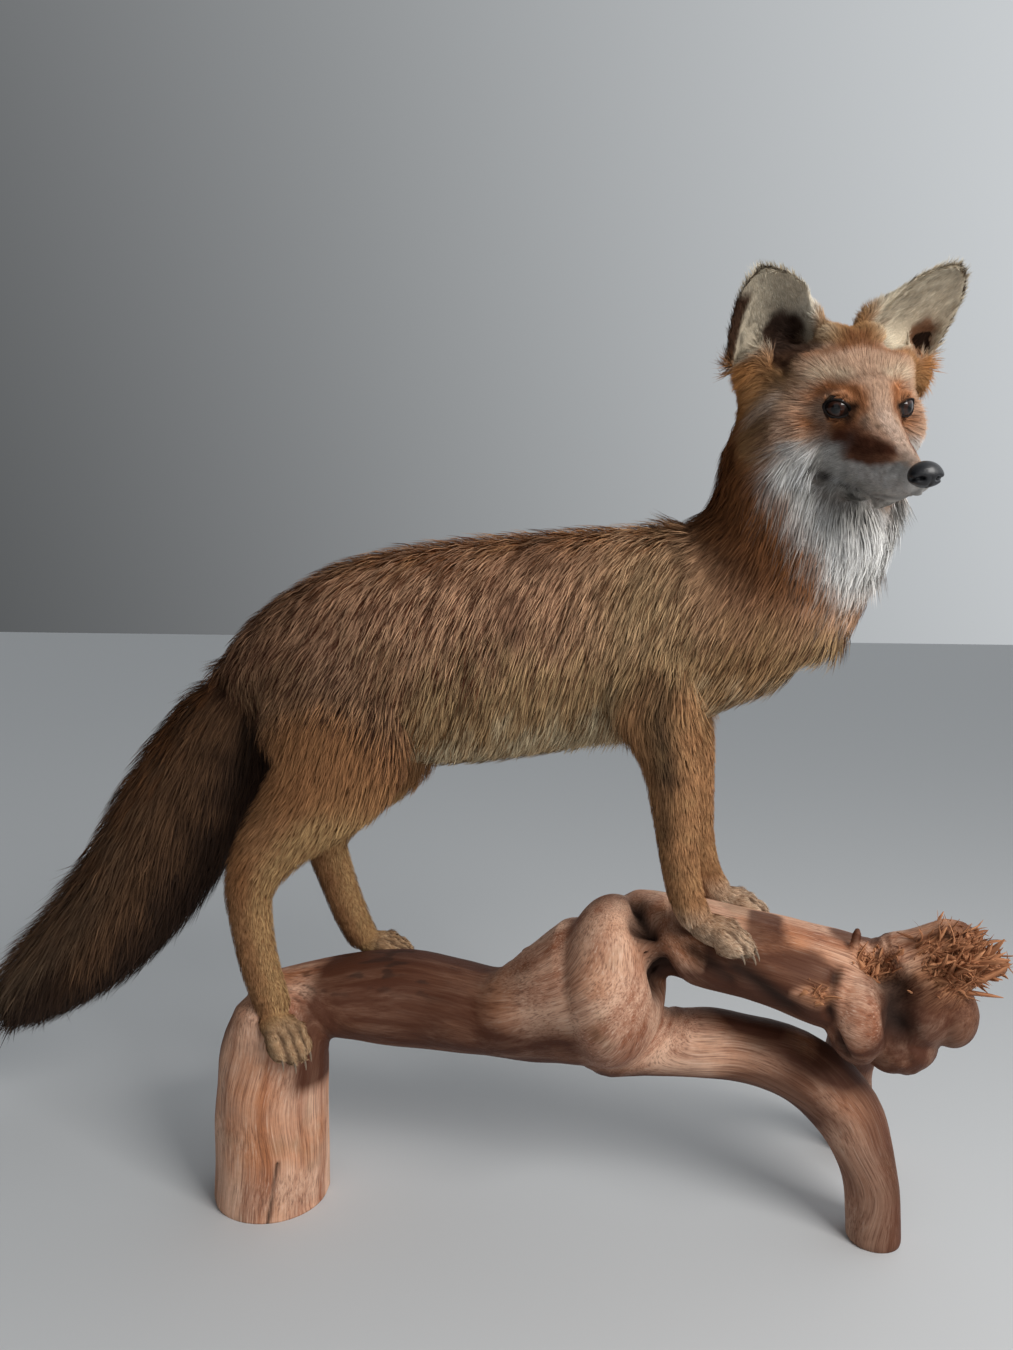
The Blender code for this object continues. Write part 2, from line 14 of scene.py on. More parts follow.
import bmesh
import bpy
import numpy as np
from mathutils import Euler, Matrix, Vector


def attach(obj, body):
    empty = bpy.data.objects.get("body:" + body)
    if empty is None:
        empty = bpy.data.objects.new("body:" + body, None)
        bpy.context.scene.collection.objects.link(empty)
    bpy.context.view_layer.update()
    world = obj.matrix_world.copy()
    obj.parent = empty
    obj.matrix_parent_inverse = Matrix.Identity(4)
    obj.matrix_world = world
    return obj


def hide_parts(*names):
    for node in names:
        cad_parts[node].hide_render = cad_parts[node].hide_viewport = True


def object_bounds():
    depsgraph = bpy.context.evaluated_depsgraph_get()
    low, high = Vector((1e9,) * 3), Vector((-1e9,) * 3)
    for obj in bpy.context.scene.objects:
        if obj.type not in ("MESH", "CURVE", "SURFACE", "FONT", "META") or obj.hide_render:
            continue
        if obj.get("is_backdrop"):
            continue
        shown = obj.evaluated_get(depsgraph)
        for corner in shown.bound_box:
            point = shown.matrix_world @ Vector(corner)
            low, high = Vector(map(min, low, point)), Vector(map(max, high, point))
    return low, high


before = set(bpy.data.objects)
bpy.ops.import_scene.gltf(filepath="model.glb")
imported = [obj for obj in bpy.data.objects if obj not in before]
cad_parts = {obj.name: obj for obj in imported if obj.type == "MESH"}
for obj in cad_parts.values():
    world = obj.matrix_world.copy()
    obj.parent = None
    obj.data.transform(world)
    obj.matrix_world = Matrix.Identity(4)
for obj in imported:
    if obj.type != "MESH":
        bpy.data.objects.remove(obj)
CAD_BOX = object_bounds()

Array = np.ndarray
Colours = tuple[Array, Array]  # near the root and near the tip of each hair
Material, Mesh, Object = bpy.types.Material, bpy.types.Mesh, bpy.types.Object
Node, Socket, Tree = bpy.types.Node, bpy.types.NodeSocket, bpy.types.NodeTree
LOG = logging.getLogger("fox")
SEED = 20
CHUNK = 8192  # points that are weighed at a time
WOOD_MARKS = ("dark", "fresh", "stain_and_shade")  # how dark (painted shade in hollows and cracks, and dark flecks), how torn, and how stained and shaded (real stain with painted shadow and shade) each point of the wood is
MID_BODY = np.array((0.0742, -0.0166, 0.0))  # the middle of the fox's body, in the model's frame
MM = 0.001
SKIN_NODES = (
    "head", "neck", "chest", "belly", "haunches", "tail_upper", "tail_tip",
    "foreleg_right", "foreleg_left", "forepaw_right", "forepaw_left",
    "hind_leg_right", "hind_leg_left", "hock_right", "hock_left",
    "hindpaw_right", "hindpaw_left", "ear_right", "ear_left",
)  # fmt: skip
WOOD_NODES = (
    "driftwood_post", "driftwood_rear_bough", "driftwood_knee", "driftwood_front_log",
    "driftwood_lower_branch", "driftwood_front_foot", "driftwood_burl", "driftwood_back_foot",
)  # fmt: skip


class Region(Enum):
    """The parts of the coat, each of them a piece of its own."""

    HEAD = 0
    NECK = 1
    TRUNK_FRONT = 2
    TRUNK_REAR = 3
    TAIL = 4
    FORELEGS = 5
    HIND_LEGS = 6
    PAWS = 7
    EARS = 8
    FACE = 9


class Slot(Enum):
    """The record's material slots."""

    COAT = "coat"
    EYE = "eye_glass"
    NOSE = "nose_leather"
    CLAW = "claw"
    WOOD = "driftwood"


def mm(rows: tuple) -> Array:
    """Rows of millimetres, in metres."""
    return np.array(rows, float) / 1000


def euler(*degrees: float) -> Array:
    """The 3 by 3 matrix of turns about X, Y and Z, in degrees."""
    return np.array(Euler([math.radians(angle) for angle in degrees]).to_matrix())


def matrix(at: Array | tuple, turn: Array = np.eye(3)) -> Array:
    """The 4 by 4 matrix of a turn and then a move."""
    place = np.eye(4)
    place[:3, :3], place[:3, 3] = turn, at
    return place


# --- the body's paths in mm, from mid-body: (x, y, z, half-width, half-height, depth of the coat) --
TRUNK = mm((
    (-240, 0, 436, 30, 30, 12), (-222, 0, 440, 44, 45, 14), (-190, 0, 450, 56, 62, 15),
    (-150, 0, 458, 63, 79, 15), (-110, 0, 463, 66, 88, 15), (-70, 0, 463, 68, 96, 16),
    (-20, 0, 468, 69, 96, 17), (45, 0, 476, 68, 92, 17), (110, 0, 486, 66, 86, 16),
    (155, 0, 495, 62, 80, 16), (200, 0, 498, 55, 66, 17), (232, 0, 497, 42, 45, 18),
))  # fmt: skip
NECK = mm((
    (165, 0, 490, 56, 66, 16), (198, 0, 516, 60, 76, 18), (224, -2, 553, 60, 74, 19),
    (234, -5, 585, 62, 73, 19), (237, -10, 620, 62, 71, 18), (236, -12, 655, 58, 65, 16),
))  # fmt: skip
TAIL = mm((
    (-205, 0, 450, 36, 36, 14), (-230, 2, 423, 46, 51, 20), (-266, 5, 372, 54, 62, 26),
    (-310, 8, 309, 58, 66, 29), (-353, 10, 247, 58, 62, 30), (-404, 12, 192, 54, 56, 30),
    (-458, 13, 148, 45, 45, 28), (-490, 13, 123, 32, 32, 24),
))  # fmt: skip
FORELEG_RIGHT = mm((
    (120, -34, 462, 30, 40, 10), (127, -43, 425, 25, 32, 7), (137.5, -46, 390, 21, 23.5, 5),
    (142.5, -46, 352, 18, 19.5, 4), (146, -46, 313, 16, 16, 3), (151, -47, 288, 16, 15, 3),
    (157, -49, 274, 15, 14, 3),
))  # fmt: skip
FORELEG_LEFT = mm((
    (125, 34, 462, 30, 40, 10), (134, 41, 425, 24, 30, 7), (146, 42, 390, 20, 22.5, 5),
    (150, 41, 352, 18, 18.5, 4), (153, 40, 313, 16, 16, 3), (160, 39, 284, 16, 15, 3),
    (168, 39, 270, 15, 14, 3),
))  # fmt: skip
HIND_LEG_RIGHT = mm((
    (-148, -34, 462, 32, 56, 12), (-132, -46, 412, 32, 66, 10), (-133, -51, 372, 29, 58, 9),
    (-158, -54, 338, 25, 41, 7), (-188, -56, 305, 21, 31.5, 6), (-205, -57, 274, 17, 24, 4),
    (-204.5, -58, 242, 15.5, 20, 3), (-196, -60, 205, 15.5, 18.5, 3), (-184, -63, 175, 15.5, 17, 3),
))  # fmt: skip
HIND_LEG_LEFT = mm((
    (-145, 34, 462, 32, 56, 12), (-128, 46, 412, 32, 66, 10), (-130, 50, 374, 29, 54, 9),
    (-152, 52, 342, 25, 38, 7), (-176, 53, 312, 21, 30, 6), (-186, 53, 285, 17, 23, 4),
    (-177, 52, 255, 15.5, 19.5, 3), (-163, 50, 222, 15.5, 18, 3), (-151, 50, 199, 15.5, 16.5, 3),
))  # fmt: skip


@dataclass(frozen=True)
class Paw:
    """A foot.

    Attributes:
        ankle: Where the ankle meets it, from mid-body.
        length: Its length.
        heading: The way it points, in degrees left of +X.
        slope: How steeply it goes down, in degrees.
    """

    ankle: tuple
    length: float
    heading: float
    slope: float

    def turn(self) -> Array:
        """Its turn, with its ways forward, left and up as columns."""
        return euler(0, self.slope, self.heading)

    def place(self) -> Array:
        """The 4 by 4 matrix from the foot's own frame to the model's."""
        return matrix(MID_BODY + self.ankle, self.turn())

    def local(self, points: Array) -> tuple[Array, Array]:
        """Points from mid-body in the foot's own frame, and whether each is near it."""
        out = points - self.ankle
        return out @ self.turn(), norm(out) < 0.075


PAWS = (
    Paw((0.160, -0.050, 0.272), 0.046, -16.0, 17.0),
    Paw((0.169, 0.039, 0.266), 0.044, 4.0, 12.0),
    Paw((-0.183, -0.066, 0.170), 0.050, -34.0, 26.0),
    Paw((-0.149, 0.050, 0.196), 0.046, 2.0, 5.0),
)
PAW_DEPTH = 0.0016  # of the coat on the feet
TOES = ((-0.006, -0.0125), (0.0, -0.0045), (0.0, 0.0045), (-0.006, 0.0125))  # (reach, place across)
TOE_GAPS = (-0.0085, 0.0, 0.0085)

# --- the head: millimetres forward, left and up from the point midway between the eyes ------------
HEAD = matrix(MID_BODY + (0.2715, -0.0635, 0.639), euler(2.2, 19.6, -67.7) * MM)
MUZZLE = (
    (-14, 0, -16, 27, 30, 3.0), (14, 0, -23, 20, 25, 2.4), (38, 0, -28, 15.5, 20, 1.8),
    (60, 0, -30, 12, 15.5, 1.5), (73, 0, -30.5, 10, 12.5, 1.2),
)  # fmt: skip
JAW = (
    (-26, 0, -45, 24, 14, 6.0), (10, 0, -51, 15, 10, 3.0), (36, 0, -49, 11, 9, 2.0),
    (54, 0, -46, 9, 7, 1.5), (62, 0, -44.5, 7.5, 6, 1.2),
)  # fmt: skip
HEAD_SWELLINGS = (  # (middle, half-sizes, depth of the coat), on both sides where it is off the middle
    ((-46, 0, 2), (42, 42, 44), 7.0),
    ((-12, 0, 4), (27, 26, 20), 3.5),
    ((-38, 32, 12), (28, 28, 26), 7.0),
    ((-37, 38, -20), (32, 26, 33), 9.5),
    ((-66, 46, 14), (28, 31, 28), 7.0),
    ((-46, 13, 42), (16, 18, 13), 5.0),
    ((-8, 20, 3), (13, 10, 12), 2.2),
)
EYEBALL_AT = (-6.0, 22.0, 0.5)
EYEBALL_RADIUS = 9.6
GAZE = (math.cos(math.radians(30)), math.sin(math.radians(30)), 0.02)
EARS = (  # the inner and the outer end of the root, and the tip, of the right ear and the left
    ((-50, -11, 48), (-73, -78, 16), (-42, -72, 84)),
    ((-48, 4, 52), (-70, 71, 14), (-38, 70, 86)),
)
EAR_BOWL = 18.0
EAR_FEET = (((-78, -42, 24), (11, 27, 21)), ((-76, 34, 26), (11, 29, 21)))  # what closes the bowls behind

# --- the driftwood in mm, from mid-body: (x, y, z, half-width, half-height) ------------------------
POST = mm((
    (-197, -45, -20, 47.5, 47.5), (-196, -45, 50, 47, 47), (-194, -44, 105, 46, 46),
    (-190, -40, 140, 43, 43),
))  # fmt: skip
REAR_BOUGH = mm((
    (-200, -22, 155, 40, 30), (-150, -2, 160, 44, 34), (-95, 12, 160, 47, 40), (-55, 15, 157, 47, 38),
    (-15, 14, 155, 46, 35), (15, 8, 162, 47, 42), (45, 2, 175, 50, 52), (75, -6, 190, 52, 62),
))  # fmt: skip
KNEE = mm(((92, -16, 203), (43, 56, 70)))
FRONT_LOG = mm((
    (112, 6, 243, 46, 28), (145, 0, 239, 53, 31), (200, -4, 232, 54, 31), (255, -6, 219, 52, 35),
    (290, -8, 212, 45, 35),
))  # fmt: skip
LOWER_BRANCH = mm((
    (90, -4, 150, 32, 31), (130, 0, 150, 28, 27), (185, 4, 151, 27, 26), (235, 8, 139, 28, 28),
    (270, 10, 112, 27, 28), (288, 12, 78, 24, 24), (297, 13, 42, 21, 21), (300, 13, -20, 20, 20),
))  # fmt: skip
BACK_ROOT = mm((
    (296, 24, 196, 26, 26), (290, 74, 154, 22, 23), (286, 118, 92, 20, 21), (291, 142, 40, 20, 20),
    (296, 150, -20, 20, 20),
))  # fmt: skip
BACK_STUB = mm(((70, 30, 215, 18, 18), (35, 46, 202, 13, 13), (8, 54, 190, 10, 10)))
BURL_CROWN = mm(((300, -6, 212, 40, 38), (326, -10, 231, 37, 32), (344, -12, 245, 32, 26)))
BURL_SWELLINGS = mm((
    ((277, -38, 202), (23, 24, 37)), ((312, 0, 206), (44, 46, 38)), ((308, -10, 174), (30, 30, 22)),
    ((346, -12, 200), (18, 24, 24)), ((368, -10, 240), (16, 14, 9)),
))  # fmt: skip


# --- arrays ----------------------------------------------------------------------------------------
def norm(vectors: Array) -> Array:
    """The length of each vector."""
    return np.linalg.norm(vectors, axis=-1)


def unit(vectors: Array) -> Array:
    """Vectors of length one along the given ones."""
    return vectors / np.maximum(norm(vectors)[..., None], 1e-9)


def dot(a: Array, b: Array) -> Array:
    """The scalar product of each pair of vectors."""
    return np.sum(a * b, axis=-1)


def step(low: float, high: float, values: Array) -> Array:
    """Zero below low and one above high, with a smooth rise between them."""
    t = np.clip((values - low) / (high - low), 0.0, 1.0)
    return t * t * (3 - 2 * t)


def mix(a: Array, b: Array | tuple[float, ...], share: Array) -> Array:
    """The share of b in a, row by row."""
    return a + (np.asarray(b) - a) * share[:, None]


def smooth_rows(stations: tuple, steps: int = 4) -> Array:
    """Rows on a smooth path through the stations.

    Between two stations each number follows the Catmull-Rom cubic of the four nearest ones.

    Args:
        stations: The rows to pass through.
        steps: Rows from one station to the next.

    Returns:
        The rows, station by station, with the last station at the end.
    """
    rows = np.array(stations, float)
    ends = np.vstack([2 * rows[0] - rows[1], rows, 2 * rows[-1] - rows[-2]])
    a, b, c, d = (ends[k : len(rows) - 1 + k, None] for k in range(4))
    t = np.linspace(0, 1, steps, endpoint=False)[None, :, None]
    curve = b + ((c - a) * t + (2 * a - 5 * b + 4 * c - d) * t**2 + (3 * b - a - 3 * c + d) * t**3) / 2
    return np.vstack([curve.reshape(-1, rows.shape[1]), rows[-1:]])


def path_frame(centres: Array) -> tuple[Array, Array, Array]:
    """Along, across and over for each point of a path; across lies as near to the left as it can."""
    along = unit(np.gradient(centres, axis=0))
    across = unit((0.0, 1.0, 0.0) - along * (along @ (0.0, 1.0, 0.0))[:, None])
    return along, across, np.cross(along, across)


def run_along(centres: Array) -> Array:
    """How far along a path each of its points is."""
    return np.cumsum(np.append(0, norm(np.diff(centres, axis=0))))


def weigh(points: Array, at: Array, reach: Array, power: float) -> Iterator[tuple[slice, Array, Array]]:
    """How much each of some places counts at each point: (distance / reach) to a power below zero.

    Args:
        points: The points.
        at: The places.
        reach: The size of what lies round each place.
        power: The power.

    Yields:
        A slice of the points, their ways from the places, and the places' weights.
    """
    for start in range(0, len(points), CHUNK):
        part = slice(start, start + CHUNK)
        out = points[part, None] - at[None]
        yield part, out, np.maximum(norm(out) / reach, 0.05) ** power


GRID = 32  # lattice points each way, after which the noise repeats
LATTICE = np.random.default_rng(SEED).random((GRID, GRID, GRID))


def noise(points: Array, scale: float, offset: float = 0.0) -> Array:
    """Smooth noise between 0 and 1: lattice values joined by a smoothstep along each axis.

    Args:
        points: Where to read it.
        scale: The distance from one lattice point to the next.
        offset: A shift that gives another pattern.

    Returns:
        One number for each point.
    """
    q = points / scale + offset
    low = np.floor(q).astype(int)
    f = q - low
    f = f * f * (3 - 2 * f)
    total = np.zeros(len(points))
    for corner in np.ndindex(2, 2, 2):
        weight = np.prod(np.where(corner, f, 1 - f), axis=1)
        i, j, k = ((low + corner) % GRID).T
        total += weight * LATTICE[i, j, k]
    return total


def noise_ways(points: Array) -> Array:
    """Small ways that differ from lock to lock, for normals: three patterns of noise about nought."""
    parts = [noise(points, 0.004, shift) - 0.5 for shift in (1.0, 12.0, 23.0)]
    return np.column_stack(parts) * 2


@dataclass
class Shape:
    """A surface of triangles: its points, and the three points of each face."""

    points: Array
    faces: Array

    def placed(self, place: Array) -> "Shape":
        """The shape turned, scaled and moved by a 4 by 4 matrix."""
        return Shape(self.points @ place[:3, :3].T + place[:3, 3], self.faces)


def joined(shapes: list[Shape]) -> Shape:
    """All the shapes in one."""
    starts = np.cumsum([0] + [len(shape.points) for shape in shapes[:-1]])
    faces = [shape.faces + start for shape, start in zip(shapes, starts)]
    return Shape(np.vstack([shape.points for shape in shapes]), np.vstack(faces))


def grid_faces(rows: int, columns: int, closed: bool) -> Array:
    """The triangles of a grid of points, counted row by row; closed joins the last column to the first."""
    i, j = np.meshgrid(np.arange(rows - 1), np.arange(columns if closed else columns - 1), indexing="ij")
    a = i * columns + j
    b = i * columns + (j + 1) % columns
    quads = np.stack([a, b, b + columns, a + columns], -1).reshape(-1, 4)
    return np.vstack([quads[:, [0, 1, 2]], quads[:, [0, 2, 3]]])


def capped_faces(rings: int, sides: int) -> tuple[Array, Array]:
    """The triangles between rings, and the fans to the two points after them that close the ends."""
    count, k = rings * sides, np.arange(sides)
    n = (k + 1) % sides
    first = np.stack([np.full(sides, count), n, k], -1)
    last = np.stack([np.full(sides, count + 1), count - sides + k, count - sides + n], -1)
    return grid_faces(rings, sides, True), np.vstack([first, last])


def tube(rows: Array, sides: int = 28) -> Shape:
    """A closed tube with domed ends: an ellipse carried along a path.

    Each ring is centre + across * half-width * cos t + over * half-height * sin t. The domes carry
    the end ring on by reach * sin a while it shrinks by cos a.

    Args:
        rows: Centre, half-width and half-height of each ring.
        sides: Points on a ring.

    Returns:
        The tube, with its faces pointing out.
    """
    along, across, over = path_frame(rows[:, :3])
    bend = np.radians([25, 50, 72])
    blocks = []
    for end, sign in ((0, -1), (-1, 1)):
        reach = rows[end, 3:5].min()
        centre = rows[end, :3] + sign * along[end] * reach * np.sin(bend)[:, None]
        sizes = rows[end, 3:5] * np.cos(bend)[:, None]
        dome = np.hstack([centre, sizes, np.repeat([[*across[end], *over[end]]], len(bend), 0)])
        blocks.append(dome[::sign])
    middle = np.hstack([rows[:, :5], across, over])
    rings = np.vstack([blocks[0], middle, blocks[1]])
    t = np.linspace(0, 2 * math.pi, sides, endpoint=False)[None, :, None]
    points = rings[:, None, :3] + rings[:, None, 5:8] * rings[:, None, 3:4] * np.cos(t)
    points = points + rings[:, None, 8:11] * rings[:, None, 4:5] * np.sin(t)
    points = np.vstack([points.reshape(-1, 3), rings[:1, :3], rings[-1:, :3]])
    return Shape(points, np.vstack(capped_faces(len(rings), sides)))


def ball(middle: tuple, half_sizes: tuple, rings: int = 18, sides: int = 28) -> Shape:
    """An ellipsoid: middle + half-sizes * (sin a cos b, sin a sin b, cos a)."""
    a = np.linspace(0, math.pi, rings + 2)[1:-1, None]
    b = np.linspace(0, 2 * math.pi, sides, endpoint=False)[None, :]
    parts = [np.sin(a) * np.cos(b), np.sin(a) * np.sin(b), np.cos(a) + 0 * b]
    points = np.vstack([np.stack(parts, -1).reshape(-1, 3), [[0, 0, 1], [0, 0, -1]]])
    wall, fans = capped_faces(rings, sides)
    return Shape(points * half_sizes + middle, np.vstack([wall[:, ::-1], fans[:, [0, 2, 1]]]))


def from_head(points: Array | tuple) -> Array:
    """Points in head millimetres as points of the model."""
    return np.asarray(points, float) @ HEAD[:3, :3].T + HEAD[:3, 3]


def to_head(points: Array) -> Array:
    """Points of the model in head millimetres."""
    return (points - HEAD[:3, 3]) @ np.linalg.inv(HEAD[:3, :3]).T


def head_way(ways: Array | tuple) -> Array:
    """Directions in the head's frame, as directions of length one in the model's."""
    return unit(np.asarray(ways, float) @ HEAD[:3, :3].T)


# --- meshes and pieces -----------------------------------------------------------------------------
def mesh_of(name: str, shape: Shape) -> Mesh:
    """A smooth-shaded mesh of the shape."""
    mesh = bpy.data.meshes.new(name)
    mesh.vertices.add(len(shape.points))
    mesh.vertices.foreach_set("co", shape.points.astype(np.float32).ravel())
    mesh.loops.add(shape.faces.size)
    mesh.loops.foreach_set("vertex_index", shape.faces.astype(np.int32).ravel())
    mesh.polygons.add(len(shape.faces))
    mesh.polygons.foreach_set("loop_start", np.arange(0, shape.faces.size, 3, dtype=np.int32))
    mesh.polygons.foreach_set("use_smooth", np.ones(len(shape.faces), bool))
    mesh.update(calc_edges=True)
    return mesh


def linked(name: str, data: bpy.types.ID) -> Object:
    """A new object of the mesh, light or camera in the scene."""
    made = bpy.data.objects.new(name, data)
    bpy.context.scene.collection.objects.link(made)
    return made


def shape_of(mesh: Mesh) -> Shape:
    """The mesh's points and triangles as arrays."""
    mesh.calc_loop_triangles()
    points = np.empty(len(mesh.vertices) * 3, np.float32)
    mesh.vertices.foreach_get("co", points)
    faces = np.empty(len(mesh.loop_triangles) * 3, np.int32)
    mesh.loop_triangles.foreach_get("vertices", faces)
    return Shape(points.reshape(-1, 3).astype(float), faces.reshape(-1, 3))


def mark(mesh: Mesh, name: str, values: Array) -> None:
    """A number, a vector or, under a name that ends in colour, a colour for each vertex."""
    kind, key = ("FLOAT", "value") if values.ndim == 1 else ("FLOAT_VECTOR", "vector")
    if name.endswith("colour"):
        kind, key, values = "FLOAT_COLOR", "color", np.column_stack([values, np.ones(len(values))])
    mesh.attributes.new(name, kind, "POINT").data.foreach_set(key, values.astype(np.float32).ravel())


def add_piece(name: str, mesh: Mesh, finish: Material, slot: Slot, replaced: tuple[str, ...] = ()) -> None:
    """Puts a finished mesh into the model and reports it.

    Args:
        name: The piece's name.
        mesh: Its mesh, in the model's frame.
        finish: Its material.
        slot: The record's slot that the finish belongs to. Not used.
        replaced: The solids that it stands for.
    """
    piece = linked(name, mesh)
    mesh.materials.clear()
    mesh.materials.append(finish)
    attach(piece, "root")
    if replaced:
        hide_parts(*replaced)
    LOG.info("%s: %d faces", name, len(mesh.polygons))


def skinned(shape: Shape, voxel: float, passes: int, fine: Callable | None = None, keep: float = 1) -> Shape:
    """One closed skin over overlapping shapes.

    Args:
        shape: The closed shapes, joined.
        voxel: The grain of the skin.
        passes: Smoothing passes over it.
        fine: Says of points whether they keep the full grain; the rest is thinned out.
        keep: The share of the faces that the rest keeps.

    Returns:
        The skin.
    """
    work = linked("work", mesh_of("work", shape))
    remesh = work.modifiers.new("skin", "REMESH")
    remesh.mode = "VOXEL"
    remesh.voxel_size = voxel
    soften = work.modifiers.new("soften", "SMOOTH")
    soften.factor = 0.5
    soften.iterations = passes
    made = applied(work)
    if fine is not None:
        work.data = made
        work.modifiers.clear()
        outside = ~fine(shape_of(made).points)
        group = work.vertex_groups.new(name="coarse")
        group.add(np.flatnonzero(outside).tolist(), 1.0, "REPLACE")
        fewer = work.modifiers.new("fewer", "DECIMATE")
        fewer.vertex_group = group.name
        fewer.ratio = 1 - (1 - keep) * float(outside.mean())
        made = applied(work)
    result = shape_of(made)
    bpy.data.objects.remove(work)
    return result


def applied(work: Object) -> Mesh:
    """The object's mesh as its modifiers show it."""
    bpy.context.view_layer.update()
    graph = bpy.context.evaluated_depsgraph_get()
    return bpy.data.meshes.new_from_object(work.evaluated_get(graph))


def vertex_normals(shape: Shape) -> Array:
    """Normals of length one: the sum of the area vectors of the faces round each point."""
    a, b, c = (shape.points[shape.faces[:, k]] for k in range(3))
    area = np.cross(b - a, c - a)
    total = np.zeros_like(shape.points)
    for k in range(3):
        for axis in range(3):
            total[:, axis] += np.bincount(shape.faces[:, k], area[:, axis], len(total))
    return unit(total)


def spread(shape: Shape, values: Array, passes: int) -> Array:
    """Values at the points, each made the mean of itself and its neighbours, so many times over."""
    edges = np.vstack([shape.faces[:, [0, 1]], shape.faces[:, [1, 2]], shape.faces[:, [2, 0]]])
    edges = np.vstack([edges, edges[:, ::-1]])
    count = np.bincount(edges[:, 0], minlength=len(values))[:, None] + 1
    for _ in range(passes):
        total = values.copy()
        for axis in range(values.shape[1]):
            total[:, axis] += np.bincount(edges[:, 0], values[edges[:, 1], axis], len(values))
        values = total / count
    return values


def relaxed(
    shape: Shape, own: Array, share: Array, rounds: int, passes: int, back: int
) -> tuple[Array, Array]:
    """Smooths a part of a surface, and swells it back by what that takes.

    Args:
        shape: The surface.
        own: Its points that may move.
        share: How much each point of the surface moves towards the mean of its neighbours.
        rounds: How many times over.
        passes: How far the neighbours reach in each.
        back: How far the swelling back is spread.

    Returns:
        The moved points of the part, and the normals before the swelling.
    """
    index = np.full(len(shape.points), -1)
    index[own] = np.arange(len(own))
    faces = index[shape.faces]
    patch = Shape(shape.points[own], faces[(faces >= 0).all(1)])
    first, share = patch.points, share[own, None]
    for _ in range(rounds):
        patch.points = patch.points + (spread(patch, patch.points, passes) - patch.points) * share
    normals = vertex_normals(patch)
    lost = dot(first - patch.points, normals)
    return patch.points + normals * spread(patch, lost[:, None], back) * share, normals


# --- the lie of the coat ---------------------------------------------------------------------------
def inset(stations: Array | tuple) -> Array:
    """Rows of a path whose half-sizes are less by the coat's depth, which is each row's last number."""
    rows = smooth_rows(stations)
    rows[:, 3:5] = np.maximum(rows[:, 3:5] - rows[:, 5:6], 0.25 * rows[:, 3:5])
    return rows


def sides(middle: tuple) -> tuple[int, ...]:
    """The left and the right, or only the one where the middle isn't to the side."""
    return (1, -1) if middle[1] else (1,)


@dataclass(frozen=True)
class Limb:
    """A part of the body along a path, and how its coat lies.

    Attributes:
        region: The coat piece that it belongs to.
        stations: Its path.
        along: How much the hair points along the path; less than nothing is against it.
        fall: How much it points down.
        length: The hair's length, as a multiple of the coat's depth.
        top: The height above which the coat of the parts it grows from takes over.
    """

    region: Region
    stations: Array
    along: float
    fall: float
    length: float
    top: float = 9.0


LIMBS = (
    Limb(Region.TRUNK_FRONT, TRUNK, -0.34, 1.0, 2.2),
    Limb(Region.NECK, NECK, -1.0, 0.35, 2.0, 0.592),
    Limb(Region.TAIL, TAIL, 1.0, 0.8, 2.3),
    Limb(Region.FORELEGS, FORELEG_RIGHT, 1.0, 0.2, 2.9, 0.428),
    Limb(Region.FORELEGS, FORELEG_LEFT, 1.0, 0.2, 2.9, 0.428),
    Limb(Region.HIND_LEGS, HIND_LEG_RIGHT, 1.0, 0.3, 2.7, 0.388),
    Limb(Region.HIND_LEGS, HIND_LEG_LEFT, 1.0, 0.3, 2.7, 0.388),
)
# Where the head's coat is measured, on both sides where it is off the middle: (middle, reach, the way
# the hair points, the coat's depth, the hair's length), all in head millimetres.
HEAD_COAT = (
    ((72, 0, -22), 12, (-1, 0, 0.1), 1.2, 3.5), ((50, 0, -18), 15, (-1, 0, 0.15), 1.6, 5),
    ((26, 0, -10), 18, (-1, 0, 0.3), 2.2, 7), ((5, 0, 3), 18, (-0.8, 0, 0.6), 3.2, 9),
    ((-15, 11, 20), 18, (-0.9, 0.15, 0.5), 4.2, 12), ((-40, 12, 42), 18, (-1, 0.15, 0.1), 4.0, 11),
    ((-6, 24, 12), 11, (-0.8, 0.45, 0.5), 2.2, 7), ((50, 12, -30), 12, (-1, 0.1, -0.15), 1.6, 5),
    ((25, 17, -32), 13, (-1, 0.15, -0.2), 2.2, 8), ((5, 22, -38), 14, (-1, 0.25, -0.4), 3.4, 12),
    ((2, 26, -14), 12, (-1, 0.3, -0.2), 2.8, 9), ((-6, 26, -46), 11, (-1, 0.3, -0.45), 3.5, 10),
    ((-44, 44, 24), 12, (-0.7, 0.5, 0.3), 2.2, 7), ((-25, 38, -14), 16, (-1, 0.45, -0.5), 7, 17),
    ((-40, 48, -32), 18, (-0.8, 0.45, -0.8), 10, 25), ((-25, 34, 14), 15, (-1, 0.35, 0.0), 5.5, 15),
    ((-68, 54, 2), 18, (-0.8, 0.3, -0.7), 12, 22), ((-76, 0, 18), 25, (-0.6, 0, -0.8), 9, 26),
    ((56, 4, -52), 8, (-1, 0.1, -0.05), 1.4, 5), ((25, 8, -58), 10, (-1, 0.1, -0.3), 1.8, 6),
    ((2, 10, -58), 10, (-0.9, 0.1, -0.8), 3.0, 9), ((-14, 18, -62), 14, (-0.6, 0.2, -1), 7, 20),
)  # fmt: skip


